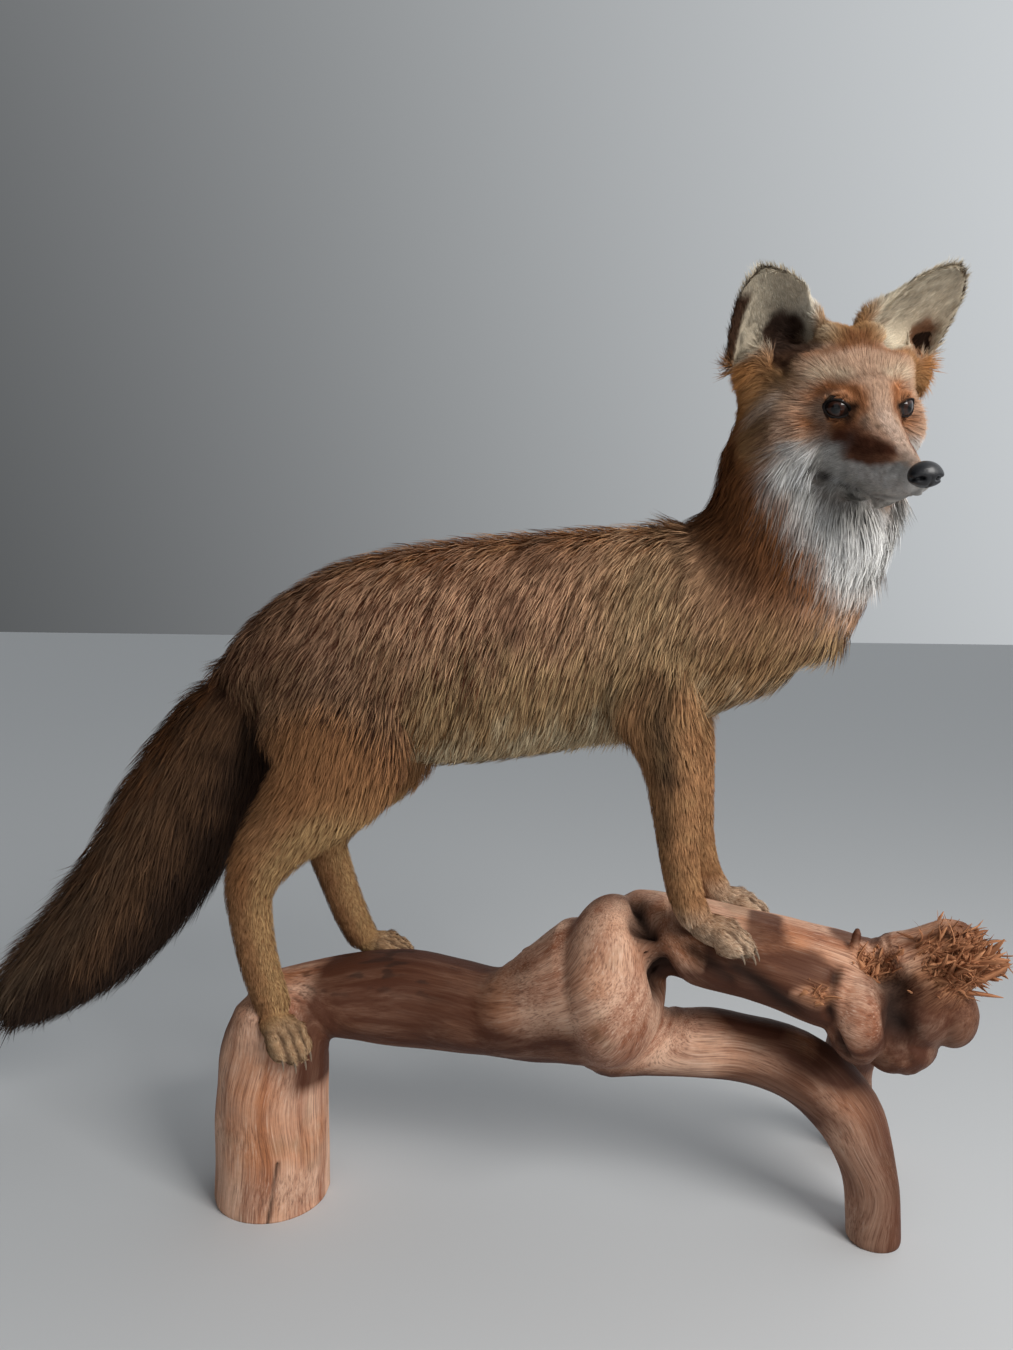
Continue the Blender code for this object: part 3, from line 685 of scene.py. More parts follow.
@dataclass
class Guides:
    """Points inside the body that tell the coat over them how to lie.

    Attributes:
        at: Their places.
        reach: The size of the body round each.
        lie: The way the hair points.
        depth: The coat's depth.
        length: The hair's length.
        region: The coat piece.
    """

    at: Array
    reach: Array
    lie: Array
    depth: Array
    length: Array
    region: Array

    def read(self, points: Array, normals: Array) -> dict[str, Array]:
        """The coat at points of the skin, where its lie is laid flat.

        Args:
            points: Where to read it.
            normals: The skin's normals there.

        Returns:
            The lie, depth, length and region at each point.
        """
        made = {"lie": np.empty_like(points)}
        made |= {key: np.empty(len(points)) for key in ("depth", "length", "region")}
        for part, _, weight in weigh(points, self.at, self.reach, -8.0):
            weight /= weight.sum(1, keepdims=True)
            for key in ("lie", "depth", "length"):
                made[key][part] = weight @ getattr(self, key)
            made["region"][part] = self.region[np.argmax(weight, axis=1)]
        made["lie"] = unit(made["lie"] - normals * dot(made["lie"], normals)[:, None])
        return made


def body_guides() -> Guides:
    """The guides of the trunk, neck, tail, legs, feet, head and ears."""
    rows = []
    for limb in LIMBS:
        path = smooth_rows(limb.stations)
        path = path[path[:, 2] < limb.top]
        path[:, :3] += MID_BODY
        along, _, _ = path_frame(path[:, :3])
        lie = unit(along * limb.along + (0.0, 0.0, -limb.fall))
        region = np.full(len(path), limb.region.value)
        if limb.region is Region.TRUNK_FRONT:
            region[path[:, 0] < MID_BODY[0]] = Region.TRUNK_REAR.value
        around, hair = path[:, 3:5].mean(1), path[:, 5] * limb.length
        rows.append(np.column_stack([path[:, :3], around, lie, path[:, 5], hair, region]))
    for paw in PAWS:
        turn = paw.turn()
        reach = np.linspace(0.1, 1.0, 4)[:, None] * paw.length
        at = np.array(paw.ankle) + MID_BODY + reach * turn[:, 0] - 0.005 * turn[:, 2]
        rest = [0.014, *turn[:, 0], PAW_DEPTH, 0.0065, Region.PAWS.value]
        rows.append(np.hstack([at, np.repeat([rest], len(at), 0)]))
    for middle, reach, way, depth, length in HEAD_COAT:
        for side in sides(middle):
            mirror = np.array((1, side, 1))
            region = Region.FACE if middle[0] > -20 else Region.HEAD
            sizes = (depth * MM, length * MM, region.value)
            rows.append([*from_head(middle * mirror), 1.35 * reach * MM, *head_way(way * mirror), *sizes])
    for ear in EARS:
        root, half, tip = ear_ways(ear)
        rest = [0.011, *head_way(tip), 0.0012, 0.0085, Region.EARS.value]
        for share in (0.02, 0.18, 0.35, 0.6, 0.85, 1.0):
            for across in (-0.55, 0.0, 0.55) if share < 0.9 else (0.0,):
                at = root + tip * share + half * across * math.sqrt(1 - share**2 * 0.9)
                rows.append([*from_head(at - (EAR_BOWL * 0.4, 0, 0)), *rest])
    table = np.vstack(rows)
    return Guides(table[:, :3], table[:, 3], table[:, 4:7], table[:, 7], table[:, 8], table[:, 9])


def ear_ways(ear: tuple) -> tuple[Array, Array, Array]:
    """The middle of an ear's root, and the ways from it to the root's outer end and to the tip."""
    inner, outer, tip = (np.array(point, float) for point in ear)
    root = (inner + outer) / 2
    return root, (outer - inner) / 2, tip - root


# --- markings --------------------------------------------------------------------------------------
@dataclass(frozen=True)
class Palette:
    """The coat's colours, as the share of red, green and blue light that they give back."""

    rust: tuple = (0.30, 0.115, 0.040)
    cream: tuple = (0.68, 0.60, 0.44)
    white: tuple = (0.74, 0.73, 0.71)
    umber: tuple = (0.13, 0.055, 0.028)
    dark: tuple = (0.045, 0.024, 0.016)
    black: tuple = (0.018, 0.014, 0.013)


COLOUR = Palette()


def paint(colours: Array, colour: tuple, share: Array) -> None:
    """Mixes the share of a colour into the colours, in place."""
    colours[:] = mix(colours, colour, share)


def spot(points: Array, middle: tuple, sizes: tuple) -> Array:
    """A soft spot: one in the middle, falling by the bell curve of the distance over the sizes."""
    return np.exp(-np.sum(((points - middle) / sizes) ** 2, axis=1))


def stroke(points: Array, route: Array | tuple, width: float) -> Array:
    """A soft line through the route's points: the bell curve of the distance to the nearest piece."""
    nearest = np.full(len(points), 1e9)
    for a, b in zip(np.array(route[:-1], float), np.array(route[1:], float)):
        share = np.clip((points - a) @ (b - a) / np.dot(b - a, b - a), 0, 1)
        nearest = np.minimum(nearest, norm(points - a - share[:, None] * (b - a)))
    return np.exp(-((nearest / width) ** 2))


def side_stroke(p: Array, route: tuple, width: float) -> Array:
    """A soft line like stroke's, with its distance measured from the side: sideways steps do not count."""
    flat = np.array((1.0, 0.0, 1.0))
    return stroke(p * flat, np.array(route) * flat, width)


MOUTH = (
    (-15, 38, -41), (-9, 28, -46.5), (3, 18, -50.5), (31, 11, -50), (60, 7, -46.5), (74, 3, -42),
    (80, 0, -36),
)  # fmt: skip


def ear_hollows(p: Array) -> tuple[Array, Array]:
    """How much points in head millimetres lie in the right and in the left ear's hollow, which is darkened as
    painted shade.
    """
    y, z = p[:, 1], p[:, 2]
    fuzz = 0.35 * (noise(p, 5.0) - 0.5)
    made = []
    for middle, wide, high in (((-40, 37), 17, 21), ((64, 36), 9, 16)):
        off = np.hypot((y - middle[0]) / wide, (z - middle[1]) / high)
        made.append(step(1.2, 0.75, off + fuzz) * step(-32, -42, p[:, 0]))
    return made[0], made[1]


def head_markings(points: Array, _: Array) -> Colours:
    """The colours near the root and near the tip of the head's hair, by place in the head's frame."""
    p = to_head(points)
    right, left = ear_hollows(p)
    x, z, sign = p[:, 0].copy(), p[:, 2], np.sign(p[:, 1])
    p[:, 1] = np.abs(p[:, 1])
    y = p[:, 1]
    fuzz = (noise(points, 0.006) - 0.5) * 7 + (noise(points, 0.0022, 4.0) - 0.5) * 4
    tip = np.tile((0.54, 0.355, 0.245), (len(p), 1))
    paint(tip, (0.33, 0.185, 0.085), step(-24, -44, x + fuzz) * step(34, 22, z))
    paint(tip, (0.44, 0.20, 0.068), step(-46, -64, x + fuzz) * step(40, 30, z))
    paint(tip, (0.40, 0.215, 0.090), step(34, 40, z + 0.5 * fuzz))
    paint(tip, COLOUR.cream, 0.8 * spot(p, (-20, 30, 19), (9, 9, 6)))
    paint(tip, COLOUR.cream, 0.6 * spot(p, (-18, 15, 17), (8, 8, 5)))
    paint(tip, COLOUR.cream, 0.7 * spot(p, (-42, 22, 52), (12, 8, 12)))
    line = stroke(p, ((-36, 36, 31), (-32, 16, 35), (-33, 0, 36.5)), 4.2)
    paint(tip, (0.25, 0.088, 0.028), 0.92 * line)
    paint(tip, (0.155, 0.055, 0.020), 0.9 * spot(p, (-38, 4, 42), (7, 8, 6)))
    around, edge_of, far_off, _ = eye_angles(p, 1)
    ring = step(62, 18, around - edge_of) * step(2.6, 1.9, far_off / EYEBALL_RADIUS)
    paint(tip, (0.50, 0.185, 0.060), 0.75 * ring)
    brow = stroke(p, ((-22, 36, 3), (-19, 25, 11), (-6, 19, 14), (4, 14, 12)), 5.0)
    paint(tip, (0.50, 0.18, 0.056), 0.9 * brow)
    paint(tip, (0.24, 0.090, 0.036), 0.85 * stroke(p, ((0, 14.5, 14), (6, 12, 8), (12, 10, 0)), 3.0))
    paint(tip, (0.48, 0.185, 0.066), 0.9 * stroke(p, ((-26, 42, -12), (-10, 28, -14.5), (10, 17, -11)), 5.5))
    side = step(1.5, 6.5, y + 0.35 * fuzz) * step(-2, 8, x) * step(64, 50, x)
    paint(tip, (0.34, 0.125, 0.060), 0.8 * side * step(-1, -9, z + 0.22 * x + 0.4 * fuzz))
    low = stroke(p, ((0, 20, -19), (22, 15, -20), (34, 13, -19)), 7.2)
    low = np.maximum(low, stroke(p, ((34, 13, -18), (53, 7.5, -16)), 4.6))
    paint(tip, (0.125, 0.045, 0.025), 0.95 * np.clip(1.35 * low, 0, 1))
    paint(tip, (0.145, 0.060, 0.034), 0.85 * spot(p, (26, 15, -30), (14, 7, 6)))
    # painted light: the top of the muzzle is made pale where it is lit from above
    bridge = step(7.5, 3.0, y + 0.25 * fuzz) * step(6, 22, x)
    paint(tip, (0.66, 0.50, 0.40), 0.8 * bridge)
    paint(tip, (0.62, 0.40, 0.29), 0.7 * stroke(p, ((20, 11, -7), (34, 9, -11), (48, 5, -13.5)), 1.8))
    paint(tip, (0.20, 0.165, 0.145), 0.75 * spot(p, (66, 0, -17), (8, 8, 5)))
    edge = np.interp(z, (-105, -76, -48, -22), (6, -4, -16, -32))
    cheek = step(-3, 4, x - edge + 0.6 * fuzz) * step(-19, -26, z - 0.16 * x + 0.5 * fuzz)
    rise = np.interp(x, (18, 36, 50, 62), (0, 1.5, 5, 9))
    lip = step(-29, -34, z - rise + 0.25 * fuzz) * step(-14, 0, x)
    white = np.maximum(cheek * step(14, -2, x), lip)
    white = np.maximum(white, step(-48, -54, z) * step(-3, 4, x - edge + 0.6 * fuzz))
    paint(tip, COLOUR.white, 0.92 * white)
    # painted shade: grey-olive over the white of the cheek
    paint(tip, (0.34, 0.31, 0.25), 0.55 * cheek * spot(p, (-12, 30, -34), (16, 16, 12)))
    paint(tip, (0.075, 0.032, 0.020), 0.85 * stroke(p, ((-13, 27, -6), (-20, 40, -10), (-31, 51, -15)), 1.8))
    # painted shade on the white of the jaw's side
    paint(tip, (0.38, 0.36, 0.30), 0.55 * step(-38, -46, z) * step(-82, -70, z) * white)
    # painted shade under the jaw, over hair that is darker there
    jaw = side_stroke(p, ((-14, 0, -55), (-7, 0, -62), (2, 0, -71)), 10.0)
    paint(tip, (0.085, 0.050, 0.030), 0.85 * np.clip(1.2 * jaw + 0.1 * fuzz * jaw, 0, 1))
    # painted shade round the lips, beside the mouth's dark line
    paint(tip, (0.085, 0.070, 0.056), 0.6 * side_stroke(p, MOUTH[:4], 4.2))
    paint(tip, (0.022, 0.016, 0.014), 0.97 * side_stroke(p, MOUTH, 2.3))
    paint(tip, COLOUR.black, 0.9 * stroke(p, ((78, 0, -34), (76, 0, -43)), 1.2))
    near = step(22, 9, around - edge_of) * step(2.2, 1.6, far_off / EYEBALL_RADIUS)
    paint(tip, (0.030, 0.016, 0.011), 0.9 * near)
    # painted shade in the ears' hollows: nearly black in the near ear, brown in the far one, which takes more
    # light
    paint(tip, (0.060, 0.030, 0.020), 0.92 * np.where(sign < 0, right, 0))
    paint(tip, (0.30, 0.150, 0.080), 0.92 * np.where(sign > 0, left, 0))
    corner = stroke(p, ((3, 13.0, -5.0), (8, 13.5, -10), (12, 14.5, -14)), 2.0)
    paint(tip, (0.060, 0.028, 0.018), 0.8 * corner)
    root = tip * np.array((0.55, 0.46, 0.42))
    # the white's roots are lightened, less so under the jaw, where its painted shade stays
    paint(root, (0.58, 0.56, 0.53), 0.75 * white * (1 - 0.8 * np.clip(jaw, 0, 1)))
    return root, tip


def body_markings(points: Array, _: Array) -> Colours:
    """The colours near the root and near the tip of the body's hair, by place from mid-body."""
    p = points - MID_BODY
    x, y, z = p.T
    rows = smooth_rows(TRUNK)
    middle = np.interp(x, rows[:, 0], rows[:, 2])
    half = np.interp(x, rows[:, 0], rows[:, 4])
    height = (z - middle) / half  # one at the spine, minus one under the belly
    haunch = step(-0.050, -0.085, x) * step(0.036, 0.050, np.abs(y))
    elbow = step(0.098, 0.112, x) * step(0.172, 0.158, x) * step(0.040, 0.052, np.abs(y))
    height = np.maximum(height, height * (1 - haunch) + np.maximum(height, -0.25) * haunch)
    height = np.maximum(height, height * (1 - elbow) + np.maximum(height, -0.35) * elbow)
    wobble = (noise(points, 0.011) - 0.5) * 0.5
    root = np.tile((0.085, 0.031, 0.016), (len(p), 1))
    tip = np.tile((0.60, 0.345, 0.205), (len(p), 1))
    paint(tip, (0.52, 0.25, 0.105), 0.85 * step(0.60, 0.95, height + wobble))
    paint(root, (0.25, 0.100, 0.038), step(0.55, 0.95, height))
    paint(tip, (0.44, 0.285, 0.140), 0.9 * step(0.25, -0.45, height + wobble))
    paint(root, (0.150, 0.078, 0.032), step(0.0, -0.6, height))
    paint(tip, (0.62, 0.50, 0.32), step(-0.50, -0.95, height + wobble))
    paint(root, (0.42, 0.32, 0.18), step(-0.6, -1.0, height + wobble))
    shoulder = spot(p, (0.120, 0.0, 0.500), (0.042, 1.0, 0.055))
    paint(tip, (0.44, 0.305, 0.160), 0.75 * shoulder)
    paint(root, (0.155, 0.085, 0.040), 0.8 * shoulder)
    rump = step(-0.08, -0.20, x) * step(0.37, 0.44, z)
    paint(root, (0.062, 0.026, 0.015), 0.8 * rump)
    paint(tip, (0.35, 0.185, 0.105), 0.7 * rump)
    seat = haunch * step(0.47, 0.43, z)
    paint(tip, (0.33, 0.180, 0.098), 0.8 * seat)
    paint(root, (0.058, 0.025, 0.014), 0.9 * seat)
    hip = spot(p, (-0.125, -0.06, 0.450), (0.035, 0.5, 0.030))
    paint(root, (0.060, 0.028, 0.018), 0.8 * hip)
    paint(tip, (0.30, 0.175, 0.110), 0.7 * hip)
    low = step(0.42, 0.375, z) * haunch
    paint(tip, (0.36, 0.160, 0.066), 0.7 * low)
    armpit = stroke(np.column_stack([x, np.abs(y), z]), ((0.124, 0.060, 0.452), (0.129, 0.061, 0.425)), 0.011)
    paint(tip, COLOUR.umber, 0.8 * armpit)
    paint(root, COLOUR.dark, 0.8 * armpit)
    fleck = step(0.52, 0.72, noise(points, 0.019, 6.0)) * step(-0.35, 0.1, height) * step(0.95, 0.7, height)
    fleck = fleck * step(0.10, 0.02, x)
    paint(tip, (0.25, 0.125, 0.075), 0.6 * fleck)
    paint(root, (0.070, 0.030, 0.017), 0.6 * fleck)
    return root, tip


def neck_markings(points: Array, _: Array) -> Colours:
    """The neck: rust on the sides and nape, with a white bib down its front."""
    p = points - MID_BODY
    x, y, z = p.T
    wobble = (noise(points, 0.010) - 0.5) * 0.016
    root = np.tile((0.070, 0.026, 0.012), (len(p), 1))
    tip = np.tile((0.31, 0.120, 0.042), (len(p), 1))
    brown = spot(p, (0.185, 0.0, 0.530), (0.045, 1.0, 0.055))
    paint(tip, (0.125, 0.050, 0.022), 0.8 * brown)
    edge = np.interp(z, (0.43, 0.46, 0.50, 0.55, 0.60, 0.66), (0.215, 0.238, 0.247, 0.228, 0.205, 0.190))
    edge = edge + 0.9 * np.maximum(y + 0.03, 0)  # the bib faces the way the head is turned
    bib = step(-0.012, 0.016, x - edge + wobble)
    paint(root, (0.50, 0.48, 0.44), bib)
    paint(tip, COLOUR.white, bib)
    # painted shade under the jaw, over hair that is darker there
    throat = sum(spot(p, (0.262, side, 0.573), (0.022, 0.030, 0.020)) for side in (-0.080, 0.0))
    throat = 0.7 * np.clip(throat, 0, 1)
    paint(tip, (0.13, 0.085, 0.055), throat)
    paint(root, (0.08, 0.05, 0.03), throat)
    return root, tip


def tail_markings(points: Array, normals: Array) -> Colours:
    """The tail: brown, rusty along the top and dark brown along the lower edge and its tip."""
    p = points - MID_BODY
    facing = normals @ unit(np.array((-0.76, 0.0, 0.65)))  # one on the upper side
    wobble = (noise(points, 0.013) - 0.5) * 0.9
    along = step(-0.25, -0.50, p[:, 0])
    root = np.tile((0.036, 0.018, 0.011), (len(p), 1))
    tip = np.tile((0.155, 0.080, 0.042), (len(p), 1))
    paint(tip, (0.22, 0.082, 0.028), 0.85 * step(0.35, 0.90, facing + 0.7 * wobble))
    paint(tip, (0.23, 0.165, 0.110), 0.6 * along * step(-0.2, 0.4, facing) * step(1.0, 0.8, facing))
    end = step(-0.395, -0.435, p[:, 0] + 0.02 * wobble) * step(0.45, 0.0, facing + 0.5 * wobble)
    lower = np.maximum(step(0.0, -0.65, facing + 0.6 * wobble), end)
    paint(tip, (0.034, 0.019, 0.013), 0.9 * lower)
    paint(root, COLOUR.black, 0.6 * lower)
    return root, tip


def leg_markings(points: Array, _: Array) -> Colours:
    """The legs and feet: ochre, with a dark patch behind the upper foreleg and pale inner sides."""
    p = points - MID_BODY
    x, y, z = p.T
    wobble = (noise(points, 0.009) - 0.5) * 0.6
    root = np.tile((0.23, 0.105, 0.045), (len(p), 1))
    tip = np.tile((0.46, 0.235, 0.110), (len(p), 1))
    pale = step(0.024, 0.004, np.abs(y) + 0.008 * wobble)
    paint(tip, COLOUR.cream, 0.7 * pale)
    fore = step(0.08, 0.10, x)
    q = np.column_stack([x, np.abs(y), z])
    patch = stroke(q, ((0.126, 0.061, 0.445), (0.1325, 0.061, 0.405), (0.1365, 0.061, 0.378)), 0.0105)
    patch = np.maximum(patch, 0.6 * stroke(q, ((0.1365, 0.061, 0.378), (0.136, 0.058, 0.335)), 0.006))
    paint(tip, COLOUR.dark, 0.9 * patch * fore)
    paint(root, COLOUR.black, 0.9 * patch * fore)
    for stations in (HIND_LEG_RIGHT, HIND_LEG_LEFT):
        rows = smooth_rows(stations[2:])
        centre = np.interp(-z, -rows[:, 2], rows[:, 0])
        half = np.interp(-z, -rows[:, 2], rows[:, 4])
        ahead = (x - centre) / half * (y * stations[0][1] > 0) * (1 - fore) * step(0.375, 0.345, z)
        paint(tip, (0.56, 0.36, 0.165), 0.9 * step(-0.1, 0.7, ahead + 0.5 * wobble))
        paint(tip, (0.17, 0.080, 0.038), 0.8 * step(-0.35, -0.9, ahead + 0.5 * wobble))
    thigh = step(0.325, 0.350, z) * (1 - fore)
    paint(tip, (0.38, 0.175, 0.075), 0.8 * thigh)
    toes = step(0.285, 0.262, z) * fore
    paint(tip, (0.76, 0.59, 0.43), 0.82 * toes)
    for paw in PAWS:
        local, near = paw.local(p)
        own = near * step(0.2, 0.5, local[:, 0] / paw.length)
        paint(tip, (0.66, 0.47, 0.31), 0.6 * own * (1 - fore))
        # painted shade in the gaps between the toes
        gap = np.minimum.reduce([np.abs(local[:, 1] - across) for across in TOE_GAPS])
        gap = np.exp(-((gap / 0.0017) ** 2)) * own * step(0.35, 0.6, local[:, 0] / paw.length)
        paint(tip, (0.15, 0.075, 0.042), 0.8 * gap)
        paint(root, COLOUR.black, 0.8 * gap)
    hock = spot(q, (-0.208, 0.056, 0.285), (0.014, 1.0, 0.030))
    paint(tip, COLOUR.rust, 0.6 * hock)
    return root, tip


def ear_markings(points: Array, normals: Array) -> Colours:
    """The ears: black-brown behind, cream inside, with painted shade over the inner faces and in the hollow
    at the foot of the bowl, deeper in the near ear.
    """
    p = to_head(points)
    facing = normals @ HEAD[:3, 0] / MM  # one where it looks the way the head does
    fuzz = (noise(points, 0.005) - 0.5) * 0.9
    root = np.tile((0.46, 0.37, 0.26), (len(p), 1))
    tip = np.tile((0.70, 0.62, 0.48), (len(p), 1))
    right, left = ear_hollows(p)
    front = step(-0.25, 0.0, facing)
    dark, brown = right * front, left * front
    # painted shade over the near ear's inner face
    inner_shade = spot(p, (-60, -44, 40), (60, 22, 30)) * front * (p[:, 1] < 0)
    paint(tip, (0.30, 0.25, 0.19), 0.75 * inner_shade)
    paint(root, (0.13, 0.10, 0.075), 0.8 * inner_shade)
    # painted shade, lighter, over the far ear's inner face
    inner_shade = spot(p, (-60, 64, 42), (60, 14, 26)) * front * (p[:, 1] > 0)
    paint(tip, (0.40, 0.30, 0.20), 0.6 * inner_shade)
    rim = spot(p, (-52, -27, 66), (30, 9, 16)) * (p[:, 1] < 0)
    paint(tip, (0.86, 0.80, 0.68), 0.9 * rim)
    paint(root, (0.66, 0.58, 0.46), 0.9 * rim)
    # painted shade in the hollows: nearly black in the near ear, brown in the far one
    paint(tip, (0.050, 0.026, 0.018), 0.97 * dark)
    paint(tip, (0.32, 0.165, 0.090), 0.95 * brown)
    paint(root, COLOUR.dark, dark)
    paint(root, (0.19, 0.085, 0.045), brown)
    outer = np.abs(p[:, 1]) - np.interp(p[:, 2], (10, 45, 84), (74, 74, 70))
    edge = step(-1.0, 1.5, outer + 1.5 * fuzz) * step(76, 64, p[:, 2]) * (p[:, 1] < 0)
    back = np.maximum(step(0.0, -0.3, facing), edge)
    paint(tip, (0.070, 0.036, 0.022), back)
    paint(root, COLOUR.dark, back)
    foot = step(36, 20, p[:, 2] + 10 * fuzz) * step(0.0, -0.3, facing)
    paint(tip, (0.46, 0.235, 0.090), 0.85 * foot)
    return root, tip


def markings(points: Array, normals: Array, guides: Guides) -> Colours:
    """The coat's colours near the root and near the tip of each hair.

    Every region has its own markings, and the guides blend them where two regions meet.

    Args:
        points: Places on the skin.
        normals: The skin's normals there.
        guides: The body's guides.

    Returns:
        The two colours at each point.
    """
    groups = {
        head_markings: (Region.HEAD, Region.FACE),
        neck_markings: (Region.NECK,),
        body_markings: (Region.TRUNK_FRONT, Region.TRUNK_REAR),
        tail_markings: (Region.TAIL,),
        leg_markings: (Region.FORELEGS, Region.HIND_LEGS, Region.PAWS),
        ear_markings: (Region.EARS,),
    }
    share = np.zeros((len(groups), len(points)))
    for row, regions in zip(share, groups.values()):
        own = np.isin(guides.region, [region.value for region in regions])
        for part, _, weight in weigh(points, guides.at[own], guides.reach[own], -10.0):
            row[part] = np.sum(weight, axis=1)
    share /= share.sum(0)
    colours = [marks(points, normals) for marks in groups]
    root, tip = (sum(part[:, None] * pair[k] for part, pair in zip(share, colours)) for k in (0, 1))
    return root, tip


# --- finishes --------------------------------------------------------------------------------------
class Nodes:
    """A short way to add shader nodes to a tree."""

    def __init__(self, tree: Tree) -> None:
        """Starts on this tree."""
        self.tree = tree

    def put(self, value: object, socket: Socket) -> None:
        """Links another socket to this one, or sets a plain value on it."""
        if isinstance(value, Socket):
            self.tree.links.new(value, socket)
        else:
            socket.default_value = value

    def add(self, kind: str, inputs: dict | None = None, **settings: object) -> Node:
        """Adds a node.

        Args:
            kind: The node's type, without its ShaderNode prefix.
            inputs: A value, or a socket to link, for each named or numbered input.
            settings: The node's own properties.

        Returns:
            The node.
        """
        node = self.tree.nodes.new(kind if kind.startswith("NodeGroup") else "ShaderNode" + kind)
        for name, value in settings.items():
            setattr(node, name, value)
        for key, value in (inputs or {}).items():
            self.put(value, node.inputs[key])
        return node

    def attribute(self, name: str, output: str = "Fac") -> Socket:
        """An attribute of the mesh: its Color, Vector or Fac."""
        return self.add("Attribute", attribute_name=name).outputs[output]

    def place(self) -> Socket:
        """The Object coordinates."""
        return self.add("TexCoord").outputs["Object"]

    def noise(self, at: Socket, scale: float, detail: float = 3.0, roughness: float = 0.55) -> Socket:
        """Noise read at a vector."""
        inputs = {"Vector": at, "Scale": scale, "Detail": detail, "Roughness": roughness}
        return self.add("TexNoise", inputs).outputs["Fac"]

    def math(self, operation: str, a: object, b: object, clamp: bool = False) -> Socket:
        """A sum of two numbers."""
        return self.add("Math", {0: a, 1: b}, operation=operation, use_clamp=clamp).outputs[0]

    def range(self, value: Socket, low: float, high: float, to_low: float = 0, to_high: float = 1) -> Socket:
        """The value carried from one range to another."""
        inputs = {"Value": value, "From Min": low, "From Max": high, "To Min": to_low, "To Max": to_high}
        return self.add("MapRange", inputs).outputs["Result"]

    def mix(self, share: object, a: Socket | tuple, b: Socket | tuple) -> Socket:
        """The share of colour b in colour a."""
        a, b = (colour if isinstance(colour, Socket) else (*colour, 1.0) for colour in (a, b))
        return self.add("Mix", {0: share, 6: a, 7: b}, data_type="RGBA").outputs[2]

    def patchy(self, colour: Socket | tuple, scale: float, amount: float) -> Node:
        """The patchy group over a colour."""
        inputs = {"Color": colour, "Vector": self.place(), "Scale": scale, "Amount": amount}
        return self.add("Group", inputs, node_tree=bpy.data.node_groups["patchy"])

    def bump(self, height: Socket, distance: float, invert: bool = False) -> Socket:
        """The normal of a surface raised by a height, or pressed in by it."""
        inputs = {"Height": height, "Strength": 0.5, "Distance": distance}
        return self.add("Bump", inputs, invert=invert).outputs["Normal"]


def new_group(name: str, inputs: dict, outputs: dict) -> tuple[Nodes, dict[str, Socket], dict[str, Socket]]:
    """A shader node group with named sockets.

    Args:
        name: The group's name.
        inputs: The kind of each input socket, and its value.
        outputs: The kind of each output socket.

    Returns:
        A Nodes on the group, what it is given, and the sockets that its results go to.
    """
    tree = bpy.data.node_groups.new(name, "ShaderNodeTree")
    for key, (kind, value) in inputs.items():
        socket = tree.interface.new_socket(key, in_out="INPUT", socket_type="NodeSocket" + kind)
        if value is not None:
            socket.default_value = value
    for key, kind in outputs.items():
        tree.interface.new_socket(key, in_out="OUTPUT", socket_type="NodeSocket" + kind)
    nodes = Nodes(tree)
    given, made = nodes.add("NodeGroupInput"), nodes.add("NodeGroupOutput")
    return nodes, {key: given.outputs[key] for key in inputs}, {key: made.inputs[key] for key in outputs}


def patchy_group() -> None:
    """Soft light and dark patches over a colour, at one scale."""
    inputs = {
        "Color": ("Color", (0.5, 0.5, 0.5, 1)),
        "Vector": ("Vector", None),
        "Scale": ("Float", 60.0),
        "Amount": ("Float", 0.25),
    }
    n, given, made = new_group("patchy", inputs, {"Color": "Color", "Height": "Float"})
    inputs = {"Vector": given["Vector"], "Scale": given["Scale"], "Detail": 4.0}
    fac = n.add("TexNoise", inputs).outputs["Fac"]
    swing = n.math("MULTIPLY", n.math("SUBTRACT", fac, 0.5), given["Amount"])
    value = n.math("ADD", n.math("MULTIPLY", swing, 2.0), 1.0)
    n.put(n.add("HueSaturation", {"Color": given["Color"], "Value": value}).outputs["Color"], made["Color"])
    n.put(fac, made["Height"])


def banded_group() -> None:
    """A hair's colour from its root to its tip: shaded at the root, then its root and tip colours."""
    inputs = {
        "Root": ("Color", (0.2, 0.1, 0.05, 1)),
        "Tip": ("Color", (0.5, 0.3, 0.2, 1)),
        "Along": ("Float", 0.0),
    }
    n, given, made = new_group("banded", inputs, {"Color": "Color"})
    colour = n.mix(n.range(given["Along"], 0.25, 0.72), given["Root"], given["Tip"])
    shade = n.range(given["Along"], 0.0, 0.35, 0.55, 1.0)
    n.put(n.add("HueSaturation", {"Color": colour, "Value": shade}).outputs["Color"], made["Color"])


@dataclass(frozen=True)
class Finish:
    """A finish: its name and how its surface takes the light."""

    name: str
    roughness: float = 0.6
    specular: float = 0.5
    coat: float = 0.0

    def build(self) -> Material:
        """The material, its plain values set on the shader's own sockets."""
        made = bpy.data.materials.new(self.name)
        made.use_nodes = True
        shader = made.node_tree.nodes["Principled BSDF"]
        shader.inputs["Roughness"].default_value = self.roughness
        shader.inputs["Specular IOR Level"].default_value = self.specular
        shader.inputs["Coat Weight"].default_value = self.coat
        shader.inputs["Coat Roughness"].default_value = 0.03
        n = Nodes(made.node_tree)
        for name, value in self.drive(n).items():
            n.put(value, shader.inputs[name])
        return made

    def drive(self, n: Nodes) -> dict[str, Socket]:
        """What drives the shader's other inputs."""
        return {}


@dataclass(frozen=True)
class HairFinish(Finish):
    """Guard hair in its root and tip colours."""

    def drive(self, n: Nodes) -> dict[str, Socket]:
        """The banded group on the blades' attributes."""
        inputs = {
            "Root": n.attribute("root_colour", "Color"),
            "Tip": n.attribute("tip_colour", "Color"),
            "Along": n.attribute("along"),
        }
        hair = n.add("Group", inputs, node_tree=bpy.data.node_groups["banded"])
        return {"Base Color": hair.outputs["Color"]}


